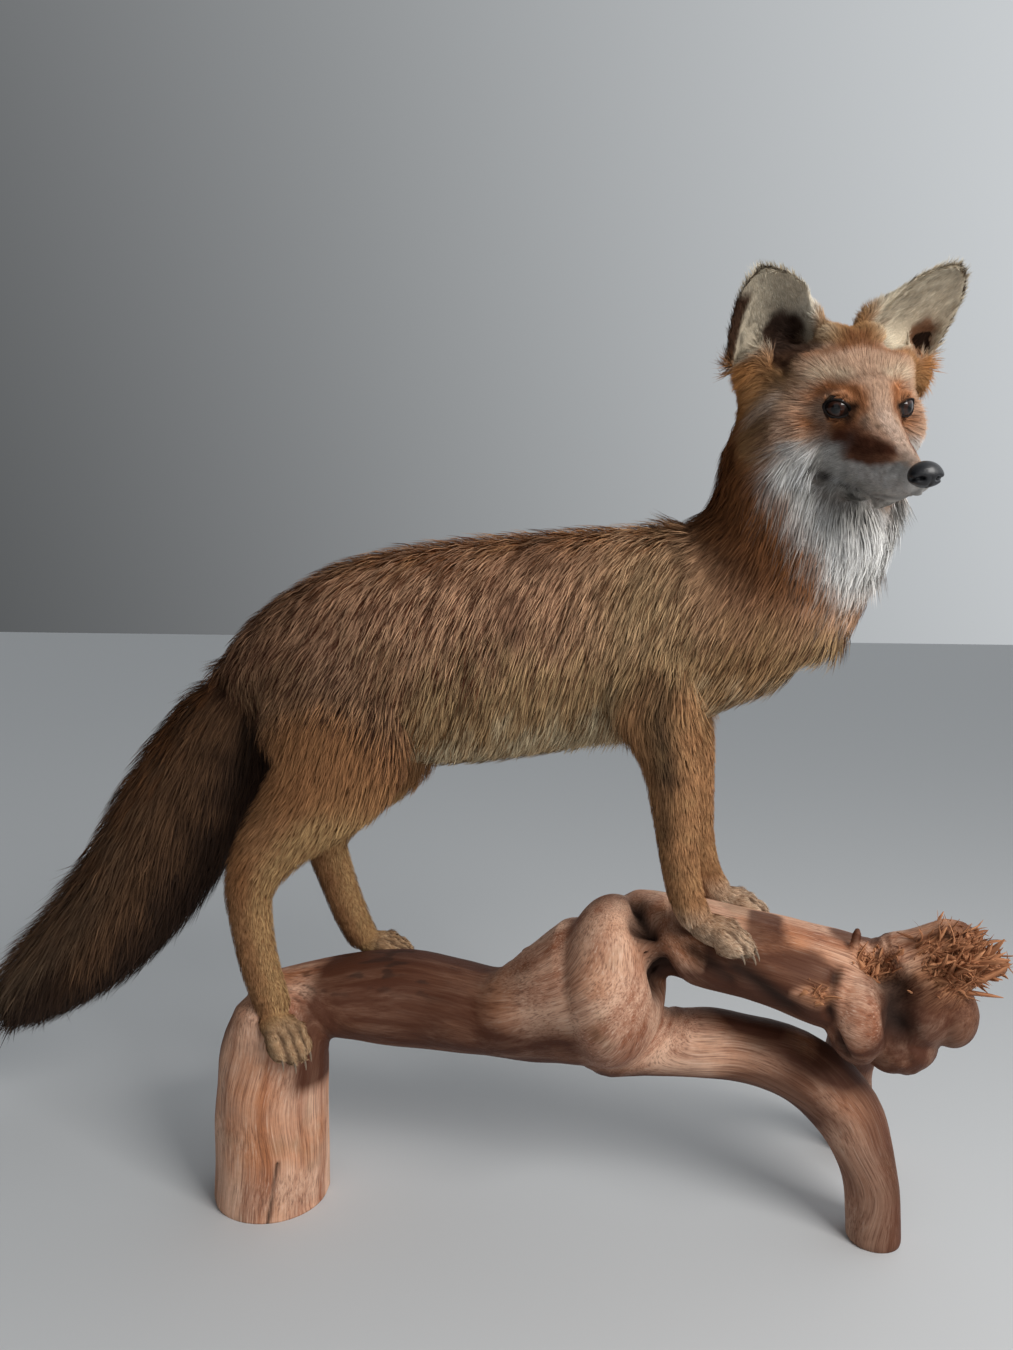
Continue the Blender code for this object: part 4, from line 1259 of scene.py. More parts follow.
@dataclass(frozen=True)
class SkinFinish(Finish):
    """The skin and its underfur, in the coat's own markings."""

    grain: float = 900.0

    def drive(self, n: Nodes) -> dict[str, Socket]:
        """The two colours of the hair mixed, with a fine grain."""
        under = n.mix(0.45, n.attribute("root_colour", "Color"), n.attribute("tip_colour", "Color"))
        fur = n.patchy(under, self.grain, 0.30).outputs
        return {"Base Color": fur["Color"], "Normal": n.bump(fur["Height"], 0.0006)}


@dataclass(frozen=True)
class EyeFinish(Finish):
    """Polished dark brown glass with a black pupil and rim."""

    def drive(self, n: Nodes) -> dict[str, Socket]:
        """Its rings, by how far each point is from the middle of the eye, in degrees."""
        off = n.attribute("off_centre")
        streak = n.noise(n.place(), 1400.0, 2.0)
        iris = n.mix(streak, (0.010, 0.004, 0.003), (0.048, 0.017, 0.010))
        iris = n.mix(n.range(off, 17.5, 20.0), (0.004, 0.003, 0.003), iris)
        return {"Base Color": n.mix(n.range(off, 32.0, 37.0), iris, (0.012, 0.008, 0.007))}


@dataclass(frozen=True)
class LeatherFinish(Finish):
    """Dark bare skin: the nose and the rims of the lids."""

    colour: tuple = (0.012, 0.012, 0.014)
    pebbles: float = 1500.0
    relief: float = 0.00025

    def drive(self, n: Nodes) -> dict[str, Socket]:
        """Its uneven colour and its fine pebbles."""
        cells = n.add("TexVoronoi", {"Vector": n.place(), "Scale": self.pebbles}).outputs["Distance"]
        colour = n.patchy((*self.colour, 1), 300.0, 0.4).outputs["Color"]
        return {"Base Color": colour, "Normal": n.bump(cells, self.relief, invert=True)}


@dataclass(frozen=True)
class HornFinish(Finish):
    """Claws: brown horn, darker towards the root."""

    def drive(self, n: Nodes) -> dict[str, Socket]:
        """Its colour, by how far along the claw a point is."""
        colour = n.mix(n.attribute("along"), (0.075, 0.045, 0.028), (0.30, 0.22, 0.15))
        return {"Base Color": n.patchy(colour, 900.0, 0.35).outputs["Color"]}


@dataclass(frozen=True)
class DriftwoodFinish(Finish):
    """Weathered, oiled driftwood: a flowing grain over reddish tan, with painted shade in its hollows and
    cracks.

    Attributes:
        pale: The wood's light bands.
        reddish: Its dark bands.
        orange: Its warm clouds.
        bleached: The light threads of its grain.
        stained_and_shaded: Where the oil has gone deep, and where shadow and shade are painted on the wood.
    """

    pale: tuple = (0.74, 0.455, 0.315)
    reddish: tuple = (0.32, 0.120, 0.062)
    orange: tuple = (0.56, 0.215, 0.088)
    bleached: tuple = (0.85, 0.64, 0.50)
    # dark oil stain, also used for the painted shadow and shade on the wood
    stained_and_shaded: tuple = (0.078, 0.026, 0.013)

    def drive(self, n: Nodes) -> dict[str, Socket]:
        """Its colours, sheen and relief, by the grain's coordinates, and how dark (painted shade), how torn
        and how stained and shaded it is.
        """
        grain, place = n.attribute("grain", "Vector"), n.place()
        dark, fresh, stain_and_shade = (n.attribute(name) for name in WOOD_MARKS)
        stretch = n.add("Mapping", {"Vector": grain, "Scale": (6.0, 260.0, 260.0)}).outputs[0]
        wide = n.add("Mapping", {"Vector": grain, "Scale": (3.0, 48.0, 48.0)}).outputs[0]
        fine = n.noise(stretch, 3.0, 5.0, 0.60)
        broad = n.noise(wide, 1.0, 5.0, 0.6)
        cloud = n.noise(place, 13.0, 4.0, 0.55)
        colour = n.mix(n.range(broad, 0.34, 0.62), self.reddish, self.pale)
        colour = n.mix(n.math("MULTIPLY", n.range(cloud, 0.44, 0.66), 0.65), colour, self.orange)
        olive = n.noise(place, 21.0, 3.0, 0.5)
        colour = n.mix(n.math("MULTIPLY", n.range(olive, 0.60, 0.72), 0.35), colour, (0.20, 0.165, 0.095))
        colour = n.patchy(colour, 260.0, 0.16).outputs["Color"]
        lines = n.range(fine, 0.50, 0.34)
        colour = n.mix(n.math("MULTIPLY", lines, 0.62), colour, (0.115, 0.048, 0.032))
        colour = n.mix(n.math("MULTIPLY", n.range(fine, 0.55, 0.72), 0.5), colour, self.bleached)
        # real stain, and painted shadow and shade, in one dark colour
        uneven = n.math("MULTIPLY", stain_and_shade, n.range(broad, 0.30, 0.62, 1.15, 0.86), clamp=True)
        colour = n.mix(uneven, colour, self.stained_and_shaded)
        # painted shade: near black in the hollows and cracks, with the dark flecks
        colour = n.mix(dark, colour, (0.028, 0.015, 0.011))
        raw = n.mix(n.range(fine, 0.35, 0.65), (0.115, 0.032, 0.012), (0.62, 0.29, 0.145))
        rough = n.range(fine, 0.3, 0.7, self.roughness + 0.14, self.roughness - 0.06)
        rough = n.math("ADD", rough, n.math("MULTIPLY", n.math("ADD", dark, fresh), 0.25))
        height = n.math("ADD", n.math("MULTIPLY", fine, 0.7), n.math("MULTIPLY", broad, 0.6))
        return {"Base Color": n.mix(fresh, colour, raw), "Roughness": rough, "Normal": n.bump(height, 0.0014)}


# --- the skin --------------------------------------------------------------------------------------
def eye_frame(side: int) -> tuple[Array, Array, Array, Array]:
    """The eyeball's middle, its gaze, its forward corner's way and its upward way, in head millimetres."""
    mirror = np.array((1, side, 1))
    gaze = unit(np.array(GAZE) * mirror)
    tilt = math.radians(-9)
    level = unit(np.cross((0, 0, 1), gaze)) * -side  # towards the nose
    up = unit(np.cross(gaze, level)) * -side
    forward = level * math.cos(tilt) + up * math.sin(tilt)
    return np.array(EYEBALL_AT) * mirror, gaze, forward, unit(up * math.cos(tilt) - level * math.sin(tilt))


def opening(turn: Array) -> Array:
    """How far the lids open, in degrees from the gaze, at each turn from the forward corner.

    An almond: the distance to an ellipse, drawn out a little towards both corners.
    """
    long = np.where(np.cos(turn) > 0, 60.0, 54.0)
    ellipse = 1 / np.sqrt((np.cos(turn) / long) ** 2 + (np.sin(turn) / 33.0) ** 2)
    return ellipse * (1 + 0.05 * np.cos(turn) ** 8)


def eye_angles(points: Array, side: int) -> tuple[Array, Array, Array, Array]:
    """Where points lie round an eyeball.

    Args:
        points: Points in head millimetres.
        side: One for the left eye, minus one for the right.

    Returns:
        The angle from the gaze in degrees, the lids' opening there, the distance from the eyeball's
        middle, and the way out from it.
    """
    middle, gaze, forward, up = eye_frame(side)
    out = points - middle
    distance = norm(out)
    way = out / distance[:, None]
    off = np.degrees(np.arccos(np.clip(way @ gaze, -1, 1)))
    turn = np.arctan2(way @ up, way @ forward)
    return off, opening(turn), distance, way


@dataclass
class Skin:
    """The one skin under the coat, from the muzzle to the tip of the tail and the toes.

    Attributes:
        voxel: The grain that the skin is joined with.
        passes: Smoothing passes.
        keep: The share of faces kept away from the head.
        ear_wall: The ears' thickness at their root, in head millimetres.
        lid_proud: How far the lids stand off the eyeball, in head millimetres.
        shape: The skin, once it is built.
        normals: Its normals.
    """

    voxel: float = 0.0017
    passes: int = 4
    keep: float = 0.22
    ear_wall: float = 4.2
    lid_proud: float = 0.9
    shape: Shape | None = None
    normals: Array | None = None

    def ear(self, ear: tuple) -> Shape:
        """One ear as a closed bowl.

        A point of its wall is root + (tip - root) v + half-root u width(v) + back (bowl + wall), where
        the bowl is deepest in the middle of the root and the width is sqrt(1 - v^1.3).
        """
        root, half, tip = ear_ways(ear)
        back = unit(np.cross(half, tip))
        back = -back if back[0] > 0 else back
        v, u = np.meshgrid(np.linspace(-0.22, 0.985, 30), np.linspace(-1, 1, 30), indexing="ij")
        width = np.maximum(np.sqrt(1 - np.maximum(v, 0) ** 1.3), 0.12) * (0.97 + 1.3 * np.minimum(v, 0))
        walls = []
        for wall in (0.7, 0.7 + self.ear_wall):
            bowl = EAR_BOWL * (1 - 0.75 * v) * (1 - u**2)
            thick = wall * (1 - 0.30 * np.abs(u) ** 3) * (1 - 0.30 * v)
            off = v[..., None] * tip + (u * width)[..., None] * half
            walls.append((root + off + (bowl + thick)[..., None] * back).reshape(-1, 3))
        count = v.size
        front = grid_faces(*v.shape, False)
        at = np.arange(count).reshape(v.shape)
        rim = np.concatenate([at[0], at[1:, -1], at[-1, -2::-1], at[-2:0:-1, 0]])
        after = np.roll(rim, -1)
        corners = ((rim, after, after + count), (rim, after + count, rim + count))
        edge = np.vstack([np.stack(corner, -1) for corner in corners])
        return Shape(np.vstack(walls), np.vstack([front, front[:, ::-1] + count, edge[:, ::-1]]))

    def paw(self, paw: Paw) -> list[Shape]:
        """A foot: its pad and four toes, as rounded swellings."""
        long, less = paw.length, PAW_DEPTH
        parts = [ball((long * 0.30, 0, -0.004), (long * 0.42, 0.0165 - less, 0.012 - less))]
        for reach, across in TOES:
            at = (long * 0.78 + reach, across, -0.006)
            parts.append(ball(at, (long * 0.27 - less, 0.0060 - 0.4 * less, 0.0085 - 0.7 * less)))
            knuckle = (long * 0.62 + reach, across, -0.002)
            parts.append(ball(knuckle, (long * 0.16, 0.0048, 0.0075)))
        return [part.placed(paw.place()) for part in parts]

    def parts(self) -> list[Shape]:
        """The closed shapes that the skin joins."""
        made = [tube(inset(limb.stations)).placed(matrix(MID_BODY)) for limb in LIMBS]
        for paw in PAWS:
            made += self.paw(paw)
        made += [tube(inset(rows)).placed(HEAD) for rows in (MUZZLE, JAW)]
        for middle, half_sizes, depth in HEAD_SWELLINGS:
            for side in sides(middle):
                made.append(ball(np.array(middle) * (1, side, 1), np.array(half_sizes) - depth).placed(HEAD))
        made += [self.ear(ear).placed(HEAD) for ear in EARS]
        made += [ball(*foot).placed(HEAD) for foot in EAR_FEET]
        return made

    def soften_trunk(self, shape: Shape) -> Array:
        """The joined skin's points, smoothed where the legs and the neck leave the trunk."""
        p = shape.points - MID_BODY
        share = step(0.355, 0.385, p[:, 2]) * step(0.60, 0.57, p[:, 2]) * step(-0.26, -0.22, p[:, 0])
        own = np.flatnonzero((share > 0) & (to_head(shape.points)[:, 2] < -70))
        moved = shape.points.copy()
        moved[own], _ = relaxed(shape, own, share, 4, 6, 30)
        return moved

    def soften_head(self, shape: Shape) -> Array:
        """Smooths the skull and the face, swells them back by what that takes, and cuts the mouth.

        Each point moves to the mean of its neighbours many times over, by a share that is one on the
        skull and nothing on the ears. The mouth's line is pressed in by the bell curve round it.

        Args:
            shape: The joined skin.

        Returns:
            The moved points.
        """
        local = to_head(shape.points)
        side = np.abs(local[:, 1])
        most = np.interp(side, (18, 30, 40, 50, 60), (-8, -19, -35, -49, -56))
        height = step(-8, 10, local[:, 2]) * step(40, 33, local[:, 2])
        over = np.maximum(local[:, 0] - most, 0) * height * (local[:, 0] > -70) * step(18, 30, side)
        local[:, 0] -= np.where(over < 45, over, 0)
        near = step(112, 96, norm(local - (-20, 0, -6)))
        near = near * np.maximum(step(58, 45, local[:, 2]), step(38, 26, side))
        share = near * step(-95, -80, local[:, 0]) * step(78, 50, local[:, 0])
        share = share * step(72, 60, np.abs(local[:, 1]))
        own = np.flatnonzero(near > 0)
        moved, normals = relaxed(Shape(local, shape.faces), own, share, 14, 12, 80)
        away = step(-0.9, -0.6, normals[:, 2]) * step(-20, -12, moved[:, 0])
        moved = moved - normals * (2.0 * away * side_stroke(moved, MOUTH, 1.6))[:, None]
        facing = step(0.0, 0.4, normals[:, 0]) * step(50, 34, moved[:, 2])
        moved[:, 0] -= 7.0 * np.maximum(*ear_hollows(moved)) * facing
        local[own] = moved
        return from_head(local)

    def open_eyes(self, points: Array) -> Array:
        """Lays the skin round the eyes: into the eyeball within the lids, and just over it beyond.

        Args:
            points: The skin's points.

        Returns:
            The moved points.
        """
        local = to_head(points)
        for side in (1, -1):
            off, limit, distance, way = eye_angles(local, side)
            beyond = off - limit
            inside = EYEBALL_RADIUS - 2.2
            over = EYEBALL_RADIUS + self.lid_proud
            held = inside + (over - inside) * step(-9.0, 2.0, beyond)
            lid = np.maximum(distance, over)
            lid = lid + (distance - lid) * step(30.0, 60.0, beyond)
            target = np.where(beyond < 2.0, held, lid)
            near = (off < 120) & (distance < EYEBALL_RADIUS * 1.9)
            local = np.where(near[:, None], eye_frame(side)[0] + way * target[:, None], local)
        return from_head(local)

    def read(self, guides: Guides) -> dict[str, Array]:
        """What the coat reads at the skin's points.

        Args:
            guides: The coat's guides.

        Returns:
            The lie, depth, length, region and normal, the smoothed normal, and one where hair may grow.
        """
        points = self.shape.points
        read = guides.read(points, self.normals)
        read["normal"] = self.normals
        read["flow"] = unit(spread(self.shape, self.normals, 4))
        local = to_head(points)
        bare = np.ones(len(points))
        for side in (1, -1):
            off, limit, distance, _ = eye_angles(local, side)
            bare *= (off > limit + 1.5) | (distance > 1.6 * EYEBALL_RADIUS)
        nose = norm((local - NosePad.middle) / np.add(NosePad.half_sizes, 0.6))
        read["bare"] = bare * (nose > 1.0) * (side_stroke(local, MOUTH, 2.0) < 0.5)
        for key, less in (("length", 0.75), ("depth", 0.65)):
            read[key] = read[key] * (1 - less * side_stroke(local, MOUTH, 5.5))
        return read

    def build(self, guides: Guides, finish: Material) -> None:
        """Joins the shapes into one skin and marks it.

        Args:
            guides: The coat's guides.
            finish: The skin's material.
        """
        def near_head(points: Array) -> Array:
            """Whether points are on or near the head."""
            local = to_head(points)
            return (local[:, 0] > -70) & (norm(local - (-20, 0, 10)) < 125)

        self.shape = shape = skinned(joined(self.parts()), self.voxel, self.passes, near_head, self.keep)
        shape.points = self.soften_trunk(shape)
        shape.points = self.soften_head(shape)
        shape.points = self.open_eyes(shape.points)
        self.normals = vertex_normals(shape)
        mesh = mesh_of("skin", shape)
        root, tip = markings(shape.points, self.normals, guides)
        mark(mesh, "root_colour", root)
        mark(mesh, "tip_colour", tip)
        add_piece("skin", mesh, finish, Slot.COAT, SKIN_NODES)


# --- the coat --------------------------------------------------------------------------------------
@dataclass
class Coat:
    """One region's coat: thin blades that taper to their tips and lie along the body.

    Attributes:
        name: The piece's name.
        region: The region of the skin that it grows from.
        count: How many blades it has.
        width: The width of a blade of middling length, in metres.
        joints: Cross-rows of points in a blade, below its tip.
        clump: How far apart the locks are, in metres.
        stray: How much the blades differ in their way and length.
        streaks: How much darker than their tip colour the dark blades among them are.
    """

    name: str
    region: Region
    count: int
    width: float
    joints: int = 3
    clump: float = 0.006
    stray: float = 0.07
    streaks: float = 0.75

    def roots(self, skin: Skin, read: dict[str, Array], rng: np.random.Generator) -> dict[str, Array]:
        """Spreads the roots evenly over the region, more of them where the hair is short.

        Roots are at even steps of the running sum of face area over hair length.

        Args:
            skin: The skin.
            read: The coat at the skin's points.
            rng: The source of chance.

        Returns:
            The place, normal, lie, depth, length and bend of the skin at each root.
        """
        points, faces = skin.shape.points, skin.shape.faces
        own = faces[read["region"][faces[:, 0]] == self.region.value]
        a, b, c = (points[own[:, k]] for k in range(3))
        area = norm(np.cross(b - a, c - a)) * read["bare"][own].min(1)
        total = np.cumsum(area / np.maximum(read["length"][own[:, 0]], 0.003) ** 0.75)
        at = (np.arange(self.count) + rng.random(self.count)) / self.count * total[-1]
        face = own[np.minimum(np.searchsorted(total, at), len(own) - 1)]
        r, s = np.sqrt(rng.random(self.count)), rng.random(self.count)
        share = np.stack([1 - r, r * (1 - s), r * s], -1)[..., None]
        made = {key: np.sum(read[key][face] * share, axis=1) for key in ("lie", "normal", "flow")}
        made |= {key: np.sum(read[key][face] * share[..., 0], axis=1) for key in ("depth", "length")}
        made["at"] = np.sum(points[face] * share, axis=1)
        normal = unit(made["normal"])
        lie = unit(made["lie"] - normal * dot(made["lie"], normal)[:, None])
        made["normal"], made["lie"] = normal, lie
        made["bend"] = self.bend(points[face], read["flow"][face], lie)
        return made

    def bend(self, corners: Array, flows: Array, lie: Array) -> Array:
        """How fast the skin turns away under a hair, per metre along its lie.

        The lie is written as a sum of two edges of the face, and the same sum of the smoothed
        normals' changes along these edges is read along the lie.
        """
        e, f = corners[:, 1] - corners[:, 0], corners[:, 2] - corners[:, 0]
        de, df = flows[:, 1] - flows[:, 0], flows[:, 2] - flows[:, 0]
        ee, ff, ef = dot(e, e), dot(f, f), dot(e, f)
        le, lf = dot(lie, e), dot(lie, f)
        det = np.maximum(ee * ff - ef * ef, 1e-18)
        p, q = (le * ff - lf * ef) / det, (lf * ee - le * ef) / det
        return np.clip(p * dot(de, lie) + q * dot(df, lie), -12.0, 45.0)

    def blades(self, roots: dict[str, Array], rng: np.random.Generator) -> tuple[Array, Array, Array]:
        """The blades' points: a ribbon that starts steep and bends down to lie along the skin.

        The slope falls evenly from a first value, which brings the tip to the coat's depth, to a
        small last one, less the skin's own bend. Neighbours lean towards the middles of their locks.

        Args:
            roots: What roots() gives.
            rng: The source of chance.

        Returns:
            The points, the share of the length at each, and the sideways place at each.
        """
        count, fine = self.count, 6
        normal, lie = roots["normal"], roots["lie"]
        side = np.cross(normal, lie)
        length = roots["length"] * rng.uniform(0.72, 1.12, count)
        depth = roots["depth"] * rng.uniform(0.55, 1.08, count)
        steep = np.clip(2 * depth / length - 0.05, 0.04, 0.93)
        s = (np.arange(fine) + 0.5) / fine
        rise = np.arcsin(steep[:, None] * (1 - s) + 0.05 * s)
        ahead = length[:, None] * s
        slope = rise - roots["bend"][:, None] * ahead
        reach = (length / fine)[:, None]
        gap = 0.25 * self.clump
        pull = noise(roots["at"] + side * gap, self.clump) - noise(roots["at"] - side * gap, self.clump)
        sway = pull / (2 * gap) * self.clump**2 * 0.55 + length * rng.normal(0, self.stray, count)
        levels = np.linspace(0, fine, self.joints + 1)
        low = np.floor(levels).astype(int).clip(0, fine - 1)
        part = levels - low
        runs = []
        for way in (np.cos, np.sin):
            run = np.hstack([np.zeros((count, 1)), np.cumsum(way(slope) * reach, axis=1)])
            runs.append(run[:, low] * (1 - part) + run[:, low + 1] * part)
        forward, upward = runs
        share = levels / fine
        centre = roots["at"][:, None] + lie[:, None] * forward[..., None]
        centre = centre + normal[:, None] * (upward - 0.0006)[..., None]
        centre = centre + side[:, None] * (sway[:, None] * share**1.6)[..., None]
        twist = rng.normal(0, 0.45, count)[:, None]
        across = side * np.cos(twist) + normal * np.sin(twist)
        mean = float(np.mean(roots["length"]))
        width = self.width * np.clip((length / mean) ** 0.5, 0.5, 1.4) * rng.uniform(0.7, 1.25, count)
        shape = np.interp(share[:-1], (0, 0.3, 0.7, 1), (0.75, 1.0, 0.62, 0.0))
        half = across[:, None] * (width[:, None] * shape / 2)[..., None]
        pairs = np.stack([centre[:, :-1] - half, centre[:, :-1] + half], axis=2).reshape(count, -1, 3)
        points = np.concatenate([pairs, centre[:, -1:]], axis=1)
        along = np.append(np.repeat(share[:-1], 2), 1.0)
        sideways = np.append(np.tile([-1.0, 1.0], self.joints) * np.repeat(shape, 2), 0.0)
        return points, along, sideways

    def faces(self) -> Array:
        """The triangles of all blades: two for each stretch of ribbon and one at the tip."""
        k = 2 * np.arange(self.joints - 1)
        first = np.stack([k, k + 2, k + 3], -1)
        second = np.stack([k, k + 3, k + 1], -1)
        tip = [[2 * self.joints - 2, 2 * self.joints, 2 * self.joints - 1]]
        one = np.vstack([first, second, tip])
        starts = np.arange(self.count) * (2 * self.joints + 1)
        return (starts[:, None, None] + one[None]).reshape(-1, 3)

    def build(self, skin: Skin, read: dict[str, Array], guides: Guides, finish: Material) -> None:
        """Grows the region's blades and colours them.

        Args:
            skin: The skin.
            read: The coat at the skin's points.
            guides: The coat's guides.
            finish: The hair's material.
        """
        rng = np.random.default_rng(SEED + self.region.value)
        roots = self.roots(skin, read, rng)
        points, along, sideways = self.blades(roots, rng)
        mesh = mesh_of(self.name, Shape(points.reshape(-1, 3), self.faces()))
        root, _ = markings(roots["at"], roots["normal"], guides)
        reach = dot(points[:, -3:].mean(1) - roots["at"], roots["lie"])[:, None] * roots["lie"]
        _, tip = markings(roots["at"] + reach, roots["normal"], guides)
        lock = noise(roots["at"], self.clump * 0.8, 5.0)
        swing = (0.08 + 0.14 * self.streaks) * rng.normal(0, 1, self.count)
        light = 1 + swing + 0.8 * self.streaks * (lock - 0.5)
        dark = 0.55 * rng.random(self.count) + 0.45 * noise(roots["at"], self.clump * 0.4)
        less = 0.16 * self.streaks
        tip = mix(tip, root * 1.15, min(1.1 * self.streaks, 1) * step(0.68 - less, 0.80 - less, dark))
        tip, root = tip * np.clip(light, 0.45, 1.6)[:, None], root * np.clip(light, 0.5, 1.5)[:, None]
        each = points.shape[1]
        mark(mesh, "root_colour", np.repeat(root, each, axis=0))
        mark(mesh, "tip_colour", np.repeat(np.clip(tip, 0, 0.9), each, axis=0))
        mark(mesh, "along", np.tile(along, self.count))
        chart = unwrap(roots["at"], roots["normal"], self.region)
        patch = np.stack([sideways * 0.0015, (along - 0.5) * 0.003], -1)
        uv = (chart[:, None] + patch[None]).reshape(-1, 2).astype(np.float32)
        soft = unit(np.repeat(roots["normal"], each, axis=0) + 0.35 * noise_ways(points.reshape(-1, 3)))
        mesh.normals_split_custom_set_from_vertices(soft)
        layer = mesh.uv_layers.new(name="OFBake")
        layer.data.foreach_set("uv", uv[self.faces().ravel()].ravel())
        add_piece(self.name, mesh, finish, Slot.COAT)


def unwrap(points: Array, normals: Array, region: Region) -> Array:
    """Where points of the skin lie on a flat unwrap of their region, from 0 to 1 each way.

    A limb is unrolled about its path: one way is the turn round it and the other the way along it.
    Where a region has more than one limb or side, each has a strip of its own.
    """
    p = points - MID_BODY
    charts = []
    if region in (Region.HEAD, Region.FACE):
        local = to_head(points) - (0, 0, -8)
        turn = np.arctan2(local[:, 1], local[:, 2]) / (2 * math.pi) + 0.5
        charts.append((np.ones(len(p), bool), turn, (local[:, 0] + 105) / 205))
    elif region is Region.EARS:
        local = to_head(points)
        facing = normals @ unit(HEAD[:3, 0]) > 0
        for ear, side in zip(EARS, (-1, 1)):
            root, half, tip = ear_ways(ear)
            u = (local - root) @ half / np.dot(half, half) / 2.6 + 0.5
            v = (local - root) @ unit(tip) / norm(tip) / 1.5 + 0.25
            for front in (True, False):
                charts.append(((local[:, 1] * side > 0) & (facing == front), u, v))
    elif region is Region.PAWS:
        for paw in PAWS:
            local, own = paw.local(p)
            u = np.arctan2(local[:, 1], local[:, 2] + 0.005) / (2 * math.pi) + 0.5
            charts.append((own, u, (local[:, 0] + 0.02) / 0.09))
    else:
        limbs = [limb for limb in LIMBS if limb.region is region] or [LIMBS[0]]
        for limb in limbs:
            path = smooth_rows(limb.stations, 8)
            along, across, over = path_frame(path[:, :3])
            near = np.argmin(norm(p[:, None] - path[None, :, :3]), axis=1)
            out = p - path[near, :3]
            u = np.arctan2(dot(out, over[near]), dot(out, across[near])) / (2 * math.pi) + 0.5
            run = run_along(path[:, :3])
            v = (run[near] + dot(out, along[near])) / run[-1] * 0.94 + 0.03
            side = np.sign(path[-1, 1])
            own = np.ones(len(p), bool) if len(limbs) == 1 else p[:, 1] * side > 0
            charts.append((own, u, v))
    result = np.full((len(p), 2), 0.5)
    for k, (own, u, v) in enumerate(charts):
        strip = (k + np.clip(u, 0.01, 0.99)) / len(charts)
        result[own] = np.stack([strip, np.clip(v, 0.004, 0.996)], -1)[own]
    return result


# --- eyes, lids, nose and claws ---------------------------------------------------------------------
@dataclass
class Eyes:
    """The glass eyes and the dark rims of their lids.

    Attributes:
        bulge: How far the clear front stands out, as a share of the eyeball's radius.
        rim: Half the thickness of the lids' rims, in head millimetres.
    """

    bulge: float = 0.05
    rim: float = 0.6

    def eyeball(self, side: int) -> tuple[Shape, Array]:
        """A ball about the gaze, swollen at its front: radius (1 + bulge e^-(angle/26)^2)."""
        middle, gaze, forward, _ = eye_frame(side)
        rings, around = 40, 56
        a = np.radians(np.linspace(0, 180, rings + 2)[1:-1, None])
        b = np.linspace(0, 2 * math.pi, around, endpoint=False)[None, :]
        radius = EYEBALL_RADIUS * (1 + self.bulge * np.exp(-((np.degrees(a) / 26) ** 2)))
        left = np.cross(gaze, forward)
        parts = [np.sin(a) * np.cos(b), np.sin(a) * np.sin(b), np.cos(a) + 0 * b]
        ways = sum(part[..., None] * way for part, way in zip(parts, (forward, left, gaze)))
        points = middle + radius[..., None] * ways
        top = EYEBALL_RADIUS * (1 + self.bulge)
        points = np.vstack([points.reshape(-1, 3), [middle + gaze * top, middle - gaze * EYEBALL_RADIUS]])
        faces = ball((0, 0, 0), (1, 1, 1), rings, around).faces
        off = np.append(np.repeat(np.degrees(a[:, 0]), around), [0.0, 180.0])
        return Shape(points, faces).placed(HEAD), off

    def lid(self, side: int) -> Shape:
        """A closed ring along the opening: a small circle carried round it, thicker at the corners."""
        middle, gaze, forward, up = eye_frame(side)
        turn = np.linspace(0, 2 * math.pi, 96, endpoint=False)
        off = np.radians(opening(turn) + 0.5)[:, None]
        edge = forward * np.cos(turn)[:, None] + up * np.sin(turn)[:, None]
        ways = gaze * np.cos(off) + edge * np.sin(off)
        centre = middle + ways * (EYEBALL_RADIUS + 0.55)
        along = unit(np.roll(centre, -1, axis=0) - np.roll(centre, 1, axis=0))
        side_way = np.cross(along, ways)
        ring = np.linspace(0, 2 * math.pi, 12, endpoint=False)[None, :, None]
        size = (self.rim * (1 + 0.5 * np.cos(turn) ** 6))[:, None, None]
        circle = ways[:, None] * np.cos(ring) * 1.2 + side_way[:, None] * np.sin(ring)
        points = (centre[:, None] + size * circle).reshape(-1, 3)
        faces = grid_faces(len(turn) + 1, ring.size, True) % len(points)  # the last ring is the first
        return outward(Shape(points, faces)).placed(HEAD)

    def build(self, glass: Material, leather: Material) -> None:
        """Makes both eyes and their lids' rims."""
        for side, name in ((-1, "right"), (1, "left")):
            shape, off = self.eyeball(side)
            mesh = mesh_of(f"glass_eye_{name}", outward(shape))
            mark(mesh, "off_centre", off)
            add_piece(f"glass_eye_{name}", mesh, glass, Slot.EYE, (f"eye_{name}",))
            add_piece(f"lid_rim_{name}", mesh_of(f"lid_rim_{name}", self.lid(side)), leather, Slot.NOSE)


def outward(shape: Shape) -> Shape:
    """The closed shape with its faces turned out: its signed volume is made more than nothing."""
    a, b, c = (shape.points[shape.faces[:, k]] for k in range(3))
    if np.sum(dot(a, np.cross(b, c))) < 0:
        return Shape(shape.points, shape.faces[:, ::-1].copy())
    return shape


